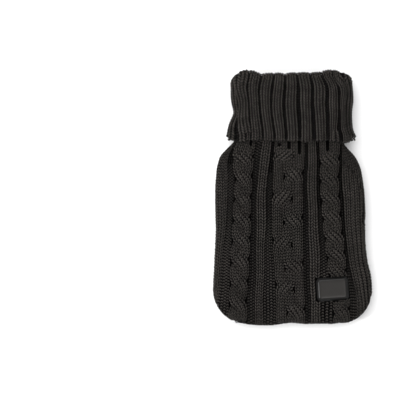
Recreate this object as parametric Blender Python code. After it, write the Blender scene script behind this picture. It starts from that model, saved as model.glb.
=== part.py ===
"""A knitted hot water bottle cover, empty and lying on its back.

Frame: metres, +X across the cover, +Y towards its turned-down collar, +Z up off the surface it lies on. The
origin is on that surface, under the middle of the cover.

Each panel is one sheet of knit. It starts at the bottom seam, runs up the body and the neck, folds over at
the mouth and comes down outside the neck as the collar, to the hem. "Outwards" is away from the bottle's
space. Sizes are in millimetres, angles in radians; MM turns millimetres into metres.
"""

import math
from typing import NamedTuple

import bmesh
import bpy
import numpy as np

MM = 0.001

# Cloth and layers
CLOTH = 3.0  # thickness of the knit, without its raised stitches
SEAM_GAP = 0.3  # between the two panels along their seams
COLLAR_GAP = 0.6  # between the neck and the collar folded over it
LAYER = CLOTH + COLLAR_GAP  # from the neck's middle to the collar's
SEAM_HEIGHT = 9.6  # the seams' height over the surface
FRONT_BODY, FRONT_NECK = 14.0, 14.4  # height of the front sheet's middle
BACK_BODY, BACK_NECK = 1.5, 5.4  # height of the back sheet's middle
NECK_STARTS, NECK_STANDS = 26.0, 43.0  # places up the cover between which a sheet goes to its neck height
SIDE_ROLL = 7.0  # width over which a panel rolls down to its seam

# Places up the cover
HEM_UP = 44.0  # where the body comes out from under the collar
NECK_UP = 50.0  # from here up the sides are the neck's
MOUTH_UP = 91.0  # where the collar's corners are measured across
BOTTOM_LEVEL = -90.0  # where a line's place across the bottom edge is read

# Raised knit
ROPE_HEIGHT, ROPE_LIFT = 2.2, 0.5
PLAIT_HEIGHT, PLAIT_LIFT = 2.2, 0.5
STRAND_HALF = 0.62  # half a strand's width, as a share of its slot: strands squeeze their neighbours
RIB_HEIGHT = 1.1
PURL_DEPTH = 0.7
COLLAR_CREST, COLLAR_VALLEY = 0.3, -1.2
VALLEY_HALF = 1.5  # half the width of a collar valley
SEAM_FADE = 4.0  # raised knit sinks away this near a seam
HEM_FADE = 6.0  # and over this length where the body goes in under the collar
CABLE_EDGE = 8  # how steeply a cable falls to its ground at its two edges
VALLEY_ROOM = 0.6  # a valley's half width is at most this share of its distance to the side
FULL_RIBS = 3.0  # the ribs reach their height over the fold's length divided by this

# Corners
BOTTOM_LEFT_CORNER, BOTTOM_RIGHT_CORNER = 28.0, 27.0
MOUTH_CORNER, HEM_CORNER = 9.0, 3.5

# The patch
PATCH_ACROSS, PATCH_UP = 32.6, -73.2
PATCH_WIDTH, PATCH_LENGTH, PATCH_THICKNESS = 23.6, 16.8, 2.2
PATCH_TURN = math.radians(4.0)
PATCH_CORNER, PATCH_EDGE = 2.4, 0.7
PATCH_GAP = 0.3
PATCH_MARGIN, PATCH_FADE = 0.8, 2.4
PRESSED = 0.4  # height of the knit pressed flat under the patch

# Steps of the meshes
SIDE_STEP = 3.0
CORNER_STEPS = 12
ROLL_TURNS = (0.0, 30.0, 60.0)
FOLD_STEPS = 5
RIM_SHARE = 0.006  # how far in the line beside a seam lies, as a share of the width
SHARP_ANGLE = math.radians(60.0)


class Sides(NamedTuple):
    """How far the cloth reaches to the left and right at one place up the cover."""

    up: float
    left: float
    right: float


OUTLINE = (
    Sides(up=-76.0, left=-63.6, right=63.5),
    Sides(up=-66.0, left=-63.2, right=63.0),
    Sides(up=-48.0, left=-62.3, right=59.4),
    Sides(up=-25.0, left=-61.4, right=57.9),
    Sides(up=-5.0, left=-61.9, right=57.8),
    Sides(up=14.0, left=-61.4, right=56.0),
    Sides(up=27.0, left=-59.7, right=52.6),
    Sides(up=34.0, left=-57.2, right=49.0),
    Sides(up=40.0, left=-51.6, right=44.6),
    Sides(up=45.0, left=-46.6, right=41.2),
    Sides(up=50.0, left=-44.9, right=42.0),
    Sides(up=57.0, left=-44.3, right=43.2),
    Sides(up=68.0, left=-43.9, right=44.4),
    Sides(up=78.0, left=-45.9, right=45.6),
    Sides(up=88.0, left=-46.2, right=44.8),
    Sides(up=102.0, left=-46.5, right=44.0),
)


class Flare(NamedTuple):
    """How far the collar's sides stand off the neck, beyond the layers' own distance."""

    up: float
    left: float
    right: float


FLARES = (
    Flare(up=44.0, left=4.6, right=5.6),
    Flare(up=49.0, left=4.7, right=5.5),
    Flare(up=57.0, left=3.7, right=2.0),
    Flare(up=68.0, left=0.0, right=0.0),
    Flare(up=78.0, left=0.0, right=0.0),
)


class Line(NamedTuple):
    """One point of an uneven edge that runs across the cover."""

    across: float
    up: float


BOTTOM_EDGE = (
    Line(across=-64.0, up=-101.6),
    Line(across=-28.0, up=-101.8),
    Line(across=0.0, up=-100.2),
    Line(across=22.0, up=-101.0),
    Line(across=64.0, up=-99.8),
)
MOUTH_EDGE = (
    Line(across=-46.0, up=100.8),
    Line(across=-35.0, up=101.6),
    Line(across=-16.0, up=99.5),
    Line(across=-2.0, up=98.8),
    Line(across=22.0, up=100.2),
    Line(across=36.0, up=101.6),
    Line(across=44.0, up=100.8),
)
COLLAR_HEM = (
    Line(across=-48.0, up=45.8),
    Line(across=-20.0, up=45.2),
    Line(across=4.0, up=44.6),
    Line(across=46.0, up=44.2),
)


class Band(NamedTuple):
    """A band of the front's pattern: its left edge at each of BAND_UPS and the shares where it is shaped."""

    form: str
    edges: tuple
    shares: tuple


BAND_UPS = (-84.0, -50.0, -14.0, 14.0, 38.0, 50.0)
LEFT_FLAT_SHARES = (0.0, 0.1, 0.35, 0.7)
RIGHT_FLAT_SHARES = (0.0, 0.3, 0.65, 0.9)
PURL_SHARES = (0.0, 0.5)
RIB_SHARES = (0.0, 0.25, 0.75)
ROPE_SHARES = (0.0, 0.07, 0.2, 0.35, 0.5, 0.65, 0.8, 0.93)
PLAIT_SHARES = (0.0, 0.05, 0.14, 0.24, 0.33, 0.42, 0.5, 0.58, 0.67, 0.76, 0.86, 0.95)
BANDS = (
    Band("flat", (), LEFT_FLAT_SHARES),
    Band("purl", (-59.6, -55.2, -50.4, -49.2, -48.8, -42.0), PURL_SHARES),
    Band("left_rope", (-50.4, -48.8, -47.6, -46.0, -46.0, -40.0), ROPE_SHARES),
    Band("purl", (-35.6, -34.2, -33.2, -31.6, -30.0, -29.0), PURL_SHARES),
    Band("rib", (-29.6, -29.2, -28.4, -27.2, -25.2, -25.6), RIB_SHARES),
    Band("purl", (-23.2, -22.4, -20.4, -20.0, -17.2, -17.6), PURL_SHARES),
    Band("plait", (-12.8, -14.4, -15.6, -15.6, -14.8, -15.2), PLAIT_SHARES),
    Band("purl", (10.4, 9.2, 8.4, 8.8, 10.4, 10.4), PURL_SHARES),
    Band("rib", (15.2, 14.0, 12.4, 12.0, 13.2, 13.2), RIB_SHARES),
    Band("purl", (23.2, 22.0, 20.4, 20.0, 19.6, 19.2), PURL_SHARES),
    Band("right_rope", (32.8, 27.6, 24.0, 22.8, 22.0, 21.6), ROPE_SHARES),
    Band("purl", (46.0, 42.8, 39.2, 37.6, 36.4, 34.0), PURL_SHARES),
    Band("flat", (52.0, 45.6, 42.0, 40.0, 38.4, 36.0), RIGHT_FLAT_SHARES),
)

# The collar's valleys, from the left: each one's place across at each of VALLEY_UPS
VALLEY_UPS = (49.0, 73.0, 91.0, 97.0)
VALLEYS = (
    (-39.9, -41.2, -43.4, -43.6),
    (-33.2, -34.8, -35.9, -34.4),
    (-23.8, -25.8, -26.0, -24.4),
    (-14.2, -16.6, -15.7, -14.6),
    (-4.6, -6.2, -5.7, -5.8),
    (6.2, 5.0, 4.2, 3.0),
    (17.6, 15.9, 15.4, 13.6),
    (28.6, 27.4, 26.8, 23.4),
    (35.7, 37.1, 35.9, 32.0),
    (39.3, 41.3, 41.3, 38.4),
)


class Cable(NamedTuple):
    """Strands that cross at even steps down the cover, starting with the crossing at top."""

    strands: int
    top: float
    pitch: float
    crossing: float
    crossings: tuple
    height: float
    lift: float


# A crossing is a pair of slots: the first one's strand goes in front to the second, the other goes behind.
CABLES = {
    "left_rope": Cable(2, 33.2, 16.8, 15.0, ((0, 1),), ROPE_HEIGHT, ROPE_LIFT),
    "right_rope": Cable(2, 29.6, 15.1, 13.6, ((0, 1),), ROPE_HEIGHT, ROPE_LIFT),
    "plait": Cable(3, 36.5, 18.1, 12.0, ((1, 0), (1, 2)), PLAIT_HEIGHT, PLAIT_LIFT),
}


class Crease(NamedTuple):
    """A soft trough across the front, from one place to another."""

    start: tuple
    end: tuple
    width: float
    depth: float


CREASES = (
    Crease(start=(42.0, 27.0), end=(52.0, 8.0), width=2.6, depth=1.0),
    Crease(start=(-50.0, 36.0), end=(-58.0, 16.0), width=3.4, depth=0.6),
)


class Panel(NamedTuple):
    """One of the two sheets: which way it faces and how far its middle lies from the seams."""

    name: str
    faces: int
    seam: float
    body_rise: float
    neck_rise: float
    body_rows: int
    outer_shares: tuple


HALF_SEAM = SEAM_GAP / 2
FRONT = Panel(
    name="front_panel",
    faces=1,
    seam=SEAM_HEIGHT + HALF_SEAM,
    body_rise=FRONT_BODY - SEAM_HEIGHT - HALF_SEAM,
    neck_rise=FRONT_NECK - SEAM_HEIGHT - HALF_SEAM,
    body_rows=56,
    outer_shares=(),
)
BACK_SHARES = (0, 0.01, 0.03, 0.05, 0.08, 0.12, 0.2, 0.35, 0.5, 0.65, 0.8, 0.88, 0.92, 0.95, 0.97, 0.99, 1)
BACK = Panel(
    name="back_panel",
    faces=-1,
    seam=SEAM_HEIGHT - HALF_SEAM,
    body_rise=SEAM_HEIGHT - HALF_SEAM - BACK_BODY,
    neck_rise=SEAM_HEIGHT - HALF_SEAM - BACK_NECK,
    body_rows=10,
    outer_shares=BACK_SHARES,
)
INNER_BODY_ROWS, NECK_ROWS, COLLAR_ROWS = 9, 3, 7


def smooth(place, places, values):
    """A smooth curve through a short table, level beyond its ends."""
    places, values = np.asarray(places, float), np.asarray(values, float)
    place = min(max(place, places[0]), places[-1])
    slopes = np.gradient(values, places)
    index = min(int(np.searchsorted(places, place, side="right")) - 1, len(places) - 2)
    step = places[index + 1] - places[index]
    share = (place - places[index]) / step
    start, end = values[index], values[index + 1]
    leave, reach = slopes[index] * step, slopes[index + 1] * step
    bend = 2 * start - 2 * end + leave + reach
    pull = -3 * start + 3 * end - 2 * leave - reach
    return ((bend * share + pull) * share + leave) * share + start


def ease(share):
    """A soft step from 0 to 1."""
    share = min(max(share, 0.0), 1.0)
    return share * share * (3.0 - 2.0 * share)


def column(table, name):
    """One named column of a table."""
    return [getattr(row, name) for row in table]


def corner(radius, inwards):
    """How far a round corner cuts back at one distance inwards from its side."""
    short = radius - min(max(inwards, 0.0), radius)
    return radius - math.sqrt(radius**2 - short**2)


class Outline:
    """The edge of a sheet's middle seen from above: its left side, its bottom if any, and its right side."""

    def __init__(self, left, bottom, right):
        points = np.array([*left, *bottom, *right], float)
        along = np.gradient(points, axis=0)
        inward = np.stack((-along[:, 1], along[:, 0]), axis=1)
        self.inward = inward / np.linalg.norm(inward, axis=1, keepdims=True)
        self.points = points + self.inward * CLOTH / 2
        self.left = self.points[: len(left)][::-1]
        self.bottom = self.points[len(left) - 1 : len(points) - len(right) + 1]
        self.right = self.points[len(points) - len(right) :]

    def sides(self, up):
        """The left and right ends of the sheet's middle at one place up."""
        left = np.interp(up, self.left[:, 1], self.left[:, 0])
        right = np.interp(up, self.right[:, 1], self.right[:, 0])
        return float(left), float(right)

    def foot(self, across):
        """How far down the sheet's middle reaches at one place across."""
        return float(np.interp(across, self.bottom[:, 0], self.bottom[:, 1]))

    def nearest(self, across, up):
        """The distance to the edge and the direction from it into the cloth."""
        spot = np.array([across, up])
        starts = self.points[:-1]
        steps = self.points[1:] - starts
        shares = np.clip(((spot - starts) * steps).sum(1) / (steps**2).sum(1), 0.0, 1.0)
        gaps = np.linalg.norm(starts + steps * shares[:, None] - spot, axis=1)
        index = int(gaps.argmin())
        share = shares[index]
        inward = self.inward[index] * (1 - share) + self.inward[index + 1] * share
        return float(gaps[index]), inward / np.linalg.norm(inward)


def side_line(which, low, high):
    """Points up one side, from the table of outlines."""
    ups = np.linspace(low, high, int((high - low) / SIDE_STEP) + 1)
    table_ups = column(OUTLINE, "up")
    return [(smooth(up, table_ups, column(OUTLINE, which)), up) for up in ups]


def bottom_line():
    """Points along the bottom edge, between the ends of its two round corners."""
    left, right = OUTLINE[0].left, OUTLINE[0].right
    turns = [math.pi / 2 * step / CORNER_STEPS for step in range(1, CORNER_STEPS + 1)]
    places = [left + BOTTOM_LEFT_CORNER * (1 - math.cos(turn)) for turn in turns]
    places += list(np.linspace(places[-1], right - BOTTOM_RIGHT_CORNER, CORNER_STEPS)[1:])
    places += [right - BOTTOM_RIGHT_CORNER * (1 - math.cos(turn)) for turn in turns[-2::-1]]
    line = []
    for across in places:
        up = smooth(across, column(BOTTOM_EDGE, "across"), column(BOTTOM_EDGE, "up"))
        up += corner(BOTTOM_LEFT_CORNER, across - left) + corner(BOTTOM_RIGHT_CORNER, right - across)
        line.append((across, up))
    return line


def body_outline():
    """The whole sheet's edge, from the mouth down one side, across the bottom and up the other."""
    top = OUTLINE[-1].up
    left = side_line("left", BOTTOM_EDGE[0].up + BOTTOM_LEFT_CORNER, top)[::-1]
    right = side_line("right", BOTTOM_EDGE[-1].up + BOTTOM_RIGHT_CORNER, top)
    return Outline(left, bottom_line(), right)


def neck_outline():
    """The neck's two sides alone, running on straight below the hem."""
    low, top = NECK_STARTS, OUTLINE[-1].up
    left = [(side_line("left", NECK_UP, top)[0][0], low), *side_line("left", NECK_UP, top)]
    right = [(side_line("right", NECK_UP, top)[0][0], low), *side_line("right", NECK_UP, top)]
    return Outline(left[::-1], [], right)


BODY_EDGE = body_outline()
NECK_EDGE = neck_outline()


def refit(across, sides, new_sides):
    """A place across, kept at the same share between two sides that move."""
    share = (across - sides[0]) / (sides[1] - sides[0])
    return new_sides[0] + share * (new_sides[1] - new_sides[0])


def band_line(index, share):
    """The place across, at any place up, of a line that follows one band of the front."""

    def across(up):
        level = min(up, NECK_UP)
        left, right = BODY_EDGE.sides(level)
        edges = [left, *(smooth(level, BAND_UPS, band.edges) for band in BANDS[1:]), right]
        spot = edges[index] + share * (edges[index + 1] - edges[index])
        return refit(spot, (left, right), BODY_EDGE.sides(up))

    return across


def valley_line(index, aside=0.0):
    """The place across, at any place up, of one collar valley or of a line beside it."""

    def across(up):
        level = max(up, VALLEY_UPS[0])
        sides = BODY_EDGE.sides(level)
        ridge = smooth(level, VALLEY_UPS, VALLEYS[index])
        room = (sides[1] - sides[0]) / 2 - abs(ridge - sum(sides) / 2)
        reach = min(abs(aside), VALLEY_ROOM * room)
        spot = ridge + math.copysign(reach, aside)
        return refit(spot, sides, BODY_EDGE.sides(up))

    return across


def crest_line(index):
    """The line midway between one collar valley and the next."""
    before, after = valley_line(index), valley_line(index + 1)
    return lambda up: (before(up) + after(up)) / 2


def even_line(share):
    """A line at one share of the way between the two sides."""
    return lambda up: refit(share, (0.0, 1.0), BODY_EDGE.sides(up))


def strands_at(cable, up):
    """Each strand's slot and lift at one place up a cable, worked down from its top."""
    holders = list(range(cable.strands))
    step, start = 0, cable.top
    while start - cable.crossing / 2 > up:
        over, under = cable.crossings[step % len(cable.crossings)]
        holders[over], holders[under] = holders[under], holders[over]
        step, start = step + 1, start - cable.pitch
    places = [(float(slot), 0.0) for slot in range(cable.strands)]
    done = ease((start + cable.crossing / 2 - up) / cable.crossing)
    if done > 0:
        over, under = cable.crossings[step % len(cable.crossings)]
        lift = cable.lift * math.sin(math.pi * done)
        places[over] = (over + (under - over) * done, lift)
        places[under] = (under + (over - under) * done, -lift)
    return places


def cable_relief(cable, share, up):
    """How far a cable's strands stand out at one share of its width."""
    best = 0.0
    for slot, lift in strands_at(cable, up):
        off = (share * cable.strands - slot - 0.5) / STRAND_HALF
        if abs(off) < 1.0:
            best = max(best, lift + cable.height * math.sqrt(1.0 - off * off))
    return best * math.sqrt(1.0 - (2.0 * share - 1.0) ** CABLE_EDGE)


def band_relief(band, share, up):
    """How far one band of the front stands out of the sheet."""
    if band.form == "purl":
        return -PURL_DEPTH * math.sin(math.pi * share)
    if band.form == "rib":
        return RIB_HEIGHT * math.sqrt(math.sin(math.pi * share))
    if band.form == "flat":
        return 0.0
    return cable_relief(CABLES[band.form], share, up)


def patch_distance(across, up):
    """The distance outside the patch's edge, seen from above."""
    x, y = across - PATCH_ACROSS, up - PATCH_UP
    along = abs(x * math.cos(PATCH_TURN) + y * math.sin(PATCH_TURN)) - PATCH_WIDTH / 2
    beside = abs(y * math.cos(PATCH_TURN) - x * math.sin(PATCH_TURN)) - PATCH_LENGTH / 2
    return math.hypot(max(along, 0.0), max(beside, 0.0))


def crease_depth(across, up):
    """How deep the front's creases are at one place."""
    depth = 0.0
    for crease in CREASES:
        start, step = np.array(crease.start), np.array(crease.end) - crease.start
        share = float(np.clip(((across, up) - start) @ step / (step @ step), 0.0, 1.0))
        gap = np.linalg.norm(start + step * share - (across, up))
        depth += crease.depth * math.exp(-((gap / crease.width) ** 2))
    return depth


def front_relief(band, share, across, up):
    """How far the front's outer face stands out of the sheet at one place."""
    height = band_relief(band, share, up)
    height *= ease((HEM_UP - up) / HEM_FADE + 0.5)
    height *= ease(BODY_EDGE.nearest(across, up)[0] / SEAM_FADE)
    height -= crease_depth(across, up)
    beside = ease((patch_distance(across, up) - PATCH_MARGIN) / PATCH_FADE)
    return PRESSED + (height - PRESSED) * beside


def rise_at(panel, up):
    """How far a sheet's middle lies from the seams, where it isn't rolled down to them."""
    share = ease((up - NECK_STARTS) / (NECK_STANDS - NECK_STARTS))
    return panel.body_rise + (panel.neck_rise - panel.body_rise) * share


def lie(panel, outline, across, up, collar=False):
    """The sheet's middle at one place, and the way outwards there; the collar lies outside the neck."""
    distance, inward = outline.nearest(across, up)
    turn = math.acos(max(0.0, 1.0 - distance / SIDE_ROLL))
    rise = rise_at(panel, up)
    slope = rise_at(panel, up + 0.5) - rise_at(panel, up - 0.5)
    sine, cosine = math.sin(turn), math.cos(turn)
    middle = np.array([across, up, panel.seam + panel.faces * rise * sine])
    sideways = -rise * cosine * inward
    sideways[1] -= slope * SIDE_ROLL * sine * sine
    outward = np.array([*sideways, panel.faces * SIDE_ROLL * sine])
    outward /= np.linalg.norm(outward)
    if collar:
        side = "left" if inward[0] > 0 else "right"
        flare = smooth(up, column(FLARES, "up"), column(FLARES, side))
        middle = middle + outward * LAYER - np.array([*inward, 0.0]) * flare * cosine
    return middle, outward


def mouth_up(line):
    """Where the fold's centre lies on one line."""
    across = line(MOUTH_UP)
    sides = BODY_EDGE.sides(MOUTH_UP)
    top = smooth(across, column(MOUTH_EDGE, "across"), column(MOUTH_EDGE, "up"))
    top -= corner(MOUTH_CORNER, across - sides[0]) + corner(MOUTH_CORNER, sides[1] - across)
    return top - LAYER / 2 - CLOTH / 2 - COLLAR_CREST


def hem_up(line):
    """Where the collar's hem lies on one line."""
    across = line(NECK_UP)
    sides = BODY_EDGE.sides(NECK_UP)
    low = smooth(across, column(COLLAR_HEM, "across"), column(COLLAR_HEM, "up"))
    return low + corner(HEM_CORNER, across - sides[0]) + corner(HEM_CORNER, sides[1] - across)


class Spot(NamedTuple):
    """One point of a sheet's middle, the way to its outer face there, and the sheet's part that it is in."""

    middle: np.ndarray
    outer: np.ndarray
    across: float
    up: float
    part: str
    folded: float


def spots_along(panel, line, body_rows):
    """The points of one line of a sheet, from the bottom seam to the hem of the collar."""
    foot = BODY_EDGE.foot(line(BOTTOM_LEVEL))
    mouth, hem = mouth_up(line), hem_up(line)
    ups = [foot + SIDE_ROLL * (1 - math.cos(math.radians(turn))) for turn in ROLL_TURNS]
    ups += list(np.linspace(foot + SIDE_ROLL, HEM_UP, body_rows + 1))
    ups += list(np.linspace(HEM_UP, mouth, NECK_ROWS + 1)[1:-1])
    spots = []
    for up in ups:
        middle, outward = lie(panel, BODY_EDGE, line(up), up)
        spots.append(Spot(middle, outward, line(up), up, "body", 0.0))
    ahead = np.array([0.0, 1.0, 0.0])
    middle, outward = lie(panel, BODY_EDGE, line(mouth), mouth)
    for step in range(FOLD_STEPS):
        turn = math.pi * step / FOLD_STEPS
        out, forth = LAYER / 2 * (1 - math.cos(turn)), LAYER / 2 * math.sin(turn)
        point = middle + outward * out + ahead * forth
        outer = outward * math.cos(turn) - ahead * math.sin(turn)
        spots.append(Spot(point, outer, line(mouth), mouth, "fold", turn / math.pi))
    for up in np.linspace(mouth, hem, COLLAR_ROWS + 1):
        level = max(up, NECK_UP)
        across = refit(line(level), BODY_EDGE.sides(level), NECK_EDGE.sides(up))
        middle, outward = lie(panel, NECK_EDGE, across, up, collar=True)
        spots.append(Spot(middle, -outward, across, up, "collar", 1.0))
    return spots


def front_face():
    """The front sheet's face that shows on the body: rows of points, a row for each line of its pattern."""
    rows = []
    for index, band in enumerate(BANDS):
        for share in band.shares:
            spots = spots_along(FRONT, band_line(index, share), FRONT.body_rows)
            rows.append([front_point(spot, band, share) for spot in spots])
    last = band_line(len(BANDS) - 1, 1.0)
    rows.append([front_point(spot, BANDS[-1], 1.0) for spot in spots_along(FRONT, last, FRONT.body_rows)])
    return rows


def front_point(spot, band, share):
    """A point of the front's outer face, raised where the pattern is."""
    raised = front_relief(band, share, spot.across, spot.up) if spot.part == "body" else 0.0
    return spot.middle + spot.outer * (CLOTH / 2 + raised)


def plain_face(panel):
    """The face that shows on the back's body, plain and flat."""
    rows = []
    for share in panel.outer_shares:
        spots = spots_along(panel, even_line(share), panel.body_rows)
        rows.append([spot.middle + spot.outer * CLOTH / 2 for spot in spots])
    return rows


def ribbed_face(panel):
    """The face inside the body and neck, which shows on the collar as ribs with narrow valleys."""
    lines = [(even_line(0.0), 0.0), (even_line(RIM_SHARE), 0.0)]
    for index in range(len(VALLEYS)):
        lines.append((valley_line(index, -VALLEY_HALF), 0.0))
        lines.append((valley_line(index), COLLAR_VALLEY))
        lines.append((valley_line(index, VALLEY_HALF), 0.0))
        if index + 1 < len(VALLEYS):
            lines.append((crest_line(index), COLLAR_CREST))
    lines += [(even_line(1.0 - RIM_SHARE), 0.0), (even_line(1.0), 0.0)]
    rows = []
    for line, raised in lines:
        row = []
        for spot in spots_along(panel, line, INNER_BODY_ROWS):
            height = CLOTH / 2 + raised * ease(spot.folded * FULL_RIBS)
            row.append(spot.middle - spot.outer * height)
        rows.append(row)
    return rows


def add_face(mesh, rows):
    """A grid of faces through rows of points; returns its corners, row by row."""
    across, along = len(rows) - 1, len(rows[0]) - 1
    grid = bmesh.ops.create_grid(mesh, x_segments=across, y_segments=along, size=1.0)
    corners = [[None] * (along + 1) for _ in range(across + 1)]
    for vertex in grid["verts"]:
        row = round((vertex.co.x + 1) / 2 * across)
        place = round((vertex.co.y + 1) / 2 * along)
        vertex.co = rows[row][place] * MM
        corners[row][place] = vertex
    return corners


def shares_along(chain):
    """Each point's share of the way along a chain of points."""
    steps = [(after.co - before.co).length for before, after in zip(chain, chain[1:])]
    lengths = np.concatenate(([0.0], np.cumsum(steps)))
    return lengths / lengths[-1]


def join_rims(mesh, first, second):
    """Join two rows of corners along the same rim, whatever their counts."""
    here, there = shares_along(first), shares_along(second)
    one = two = 0
    while one < len(first) - 1 or two < len(second) - 1:
        next_one = here[one + 1] if one < len(first) - 1 else math.inf
        next_two = there[two + 1] if two < len(second) - 1 else math.inf
        if next_one <= next_two:
            mesh.faces.new((first[one], first[one + 1], second[two]))
            one += 1
        else:
            mesh.faces.new((first[one], second[two + 1], second[two]))
            two += 1


def rims(corners):
    """The four edges of a grid of corners."""
    return corners[0], corners[-1], [row[0] for row in corners], [row[-1] for row in corners]


def knit_material():
    """Warm charcoal yarn."""
    return material("charcoal_knit", (0.031, 0.027, 0.025), 0.9)


def patch_material():
    """Soft dark satin."""
    return material("dark_satin", (0.048, 0.046, 0.043), 0.5)


def material(name, colour, roughness):
    """A plain finish."""
    finish = bpy.data.materials.new(name)
    finish.use_nodes = True
    shader = finish.node_tree.nodes["Principled BSDF"]
    shader.inputs["Base Color"].default_value = (*colour, 1.0)
    shader.inputs["Roughness"].default_value = roughness
    shader.inputs["Metallic"].default_value = 0.0
    return finish


def add_object(name, mesh, finish, parts):
    """A named object from a closed mesh, in the collection of the cover's parts."""
    bmesh.ops.recalc_face_normals(mesh, faces=mesh.faces)
    data = bpy.data.meshes.new(name)
    mesh.to_mesh(data)
    mesh.free()
    data.shade_smooth()
    data.set_sharp_from_angle(angle=SHARP_ANGLE)
    data.materials.append(finish)
    item = bpy.data.objects.new(name, data)
    parts.objects.link(item)
    return item


def add_panel(panel, outer_rows, finish, parts):
    """One panel: its two faces, joined round the rim into one closed sheet."""
    mesh = bmesh.new()
    outer = add_face(mesh, outer_rows)
    inner = add_face(mesh, ribbed_face(panel))
    for first, second in zip(rims(outer), rims(inner)):
        join_rims(mesh, first, second)
    return add_object(panel.name, mesh, finish, parts)


def add_patch(finish, parts):
    """The sewn-on patch: a thin pad with round corners and a soft upper edge, turned a little."""
    mesh = bmesh.new()
    bmesh.ops.create_cube(mesh, size=1.0)
    size = (PATCH_WIDTH * MM, PATCH_LENGTH * MM, PATCH_THICKNESS * MM)
    bmesh.ops.scale(mesh, vec=size, verts=mesh.verts)
    level = PATCH_EDGE * MM / 10
    upright = [edge for edge in mesh.edges if abs(edge.verts[0].co.z - edge.verts[1].co.z) > level]
    bmesh.ops.bevel(mesh, geom=upright, offset=PATCH_CORNER * MM, segments=4, profile=0.5, affect="EDGES")
    top = max(vertex.co.z for vertex in mesh.verts)
    rim = [edge for edge in mesh.edges if min(vertex.co.z for vertex in edge.verts) > top - level]
    bmesh.ops.bevel(mesh, geom=rim, offset=PATCH_EDGE * MM, segments=2, profile=0.5, affect="EDGES")
    item = add_object("patch", mesh, finish, parts)
    under = FRONT_BODY + CLOTH / 2 + PRESSED + PATCH_GAP
    item.location = (PATCH_ACROSS * MM, PATCH_UP * MM, (under + PATCH_THICKNESS / 2) * MM)
    item.rotation_euler.z = PATCH_TURN
    return item


def build():
    """The cover in a collection of its own."""
    for item in list(bpy.data.objects):
        bpy.data.objects.remove(item, do_unlink=True)
    parts = bpy.data.collections.new("knitted_bottle_cover")
    bpy.context.scene.collection.children.link(parts)
    knit = knit_material()
    add_panel(FRONT, front_face(), knit, parts)
    add_panel(BACK, plain_face(BACK), knit, parts)
    add_patch(patch_material(), parts)


build()
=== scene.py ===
"""A knitted hot water bottle cover, empty and lying on its back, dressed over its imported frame.

Frame: metres, +X across the cover, +Y towards its turned-down collar, +Z up off the surface it lies on.
Sizes inside the shaping functions are in millimetres; MM turns them into metres.
"""

import math
from typing import NamedTuple

import bmesh
import bpy
import numpy as np
from bpy.props import FloatProperty, FloatVectorProperty, IntProperty, PointerProperty
from bpy.types import Operator, Panel, PropertyGroup
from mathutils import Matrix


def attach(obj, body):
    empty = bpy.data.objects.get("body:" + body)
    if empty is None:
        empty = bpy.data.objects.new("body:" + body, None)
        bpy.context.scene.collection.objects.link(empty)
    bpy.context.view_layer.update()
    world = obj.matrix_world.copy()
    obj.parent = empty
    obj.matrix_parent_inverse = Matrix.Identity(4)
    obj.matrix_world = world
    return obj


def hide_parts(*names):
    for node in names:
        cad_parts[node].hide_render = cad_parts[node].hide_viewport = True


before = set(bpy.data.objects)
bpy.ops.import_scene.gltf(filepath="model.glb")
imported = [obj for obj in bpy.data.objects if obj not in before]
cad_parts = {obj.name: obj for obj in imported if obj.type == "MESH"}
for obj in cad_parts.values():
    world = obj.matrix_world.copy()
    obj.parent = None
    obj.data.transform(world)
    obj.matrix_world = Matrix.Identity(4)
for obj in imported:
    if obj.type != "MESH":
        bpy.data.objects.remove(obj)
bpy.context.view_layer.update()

bl_info = {
    "name": "Knitted bottle cover",
    "version": (1, 0, 0),
    "blender": (4, 5, 0),
    "location": "3D View > Sidebar > Cover",
    "description": "A cable-knit hot water bottle cover with a ribbed turned-down collar",
    "category": "Add Mesh",
}

MM = 0.001

# Cloth and layers
CLOTH = 3.0  # thickness of the knit, without its raised stitches
SEAM_GAP = 0.3
COLLAR_GAP = 0.6
LAYER = CLOTH + COLLAR_GAP
SEAM_HEIGHT = 9.6
FRONT_BODY, FRONT_NECK = 14.0, 14.4
BACK_BODY, BACK_NECK = 1.5, 5.4
NECK_STARTS, NECK_STANDS = 26.0, 43.0
SIDE_ROLL = 7.0

# Places up the cover
HEM_UP = 44.0
NECK_UP = 50.0
MOUTH_UP = 91.0
BOTTOM_LEVEL = -90.0  # where a line's foot is looked up
BODY_TOP = 48.0  # the body's stitches go on this far up, in under the collar
INSIDE_MOUTH = 9.0  # the collar's stitches start this far down inside the mouth

# Raised knit
ROPE_HEIGHT, ROPE_LIFT = 2.2, 1.0
PLAIT_HEIGHT, PLAIT_LIFT = 2.2, 1.0
STRAND_WALES = 3
STRAND_SWELL, STRAND_SHRINK = 0.38, 0.1  # how much a strand widens in front of another and narrows behind
STRAND_ROUND = 0.86  # how far round its own side a strand's cloth is drawn
RIB_HEIGHT = 1.1
PURL_DEEP, PURL_SHALLOW = 1.7, 0.55  # a narrow purl valley and a wide one
PURL_NARROW, PURL_WIDE = 2.4, 8.0
PURL_BROAD = 2.35  # the broadest that a purl stitch gets
PURL_ROOM = 1.1  # where its wales would be narrower, a purl valley has only every other one
# TUCK_LIGHT is painted shade: the light left in a strand's colour where it goes in under another
TUCK_FROM, TUCK_REACH, TUCK_DEPTH, TUCK_LIGHT = 0.4, 1.9, 1.1, 0.06  # where a strand goes in under another
TUCK_LIFT = 0.3  # a strand this much higher than another is in front of it
# Painted shade: a strand's colour darkens towards its own edges, where it rounds down
RIM_PAINTED_SHADE, RIM_POWER = 0.2, 3  # how much darker a strand's own edges are, and how near to them
OPEN = 9.0  # how far from the next strand counts as lying open
STRAND_GAP = 1.3  # how deep the cloth lies between a cable's strands
COLLAR_CREST, COLLAR_VALLEY = 1.1, -1.7
SEAM_FADE, HEM_FADE = 4.0, 5.0  # over which the raised knit sinks to a seam, and in under the hem
CABLE_EDGE = 8  # how squarely a cable falls to its ground
GROUND_DEPTH = 1.9  # how far the dark ground lies under the tops of the stitches
STITCH_DEPTH = 0.85  # how far a stitch's middle lies under its top
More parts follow.
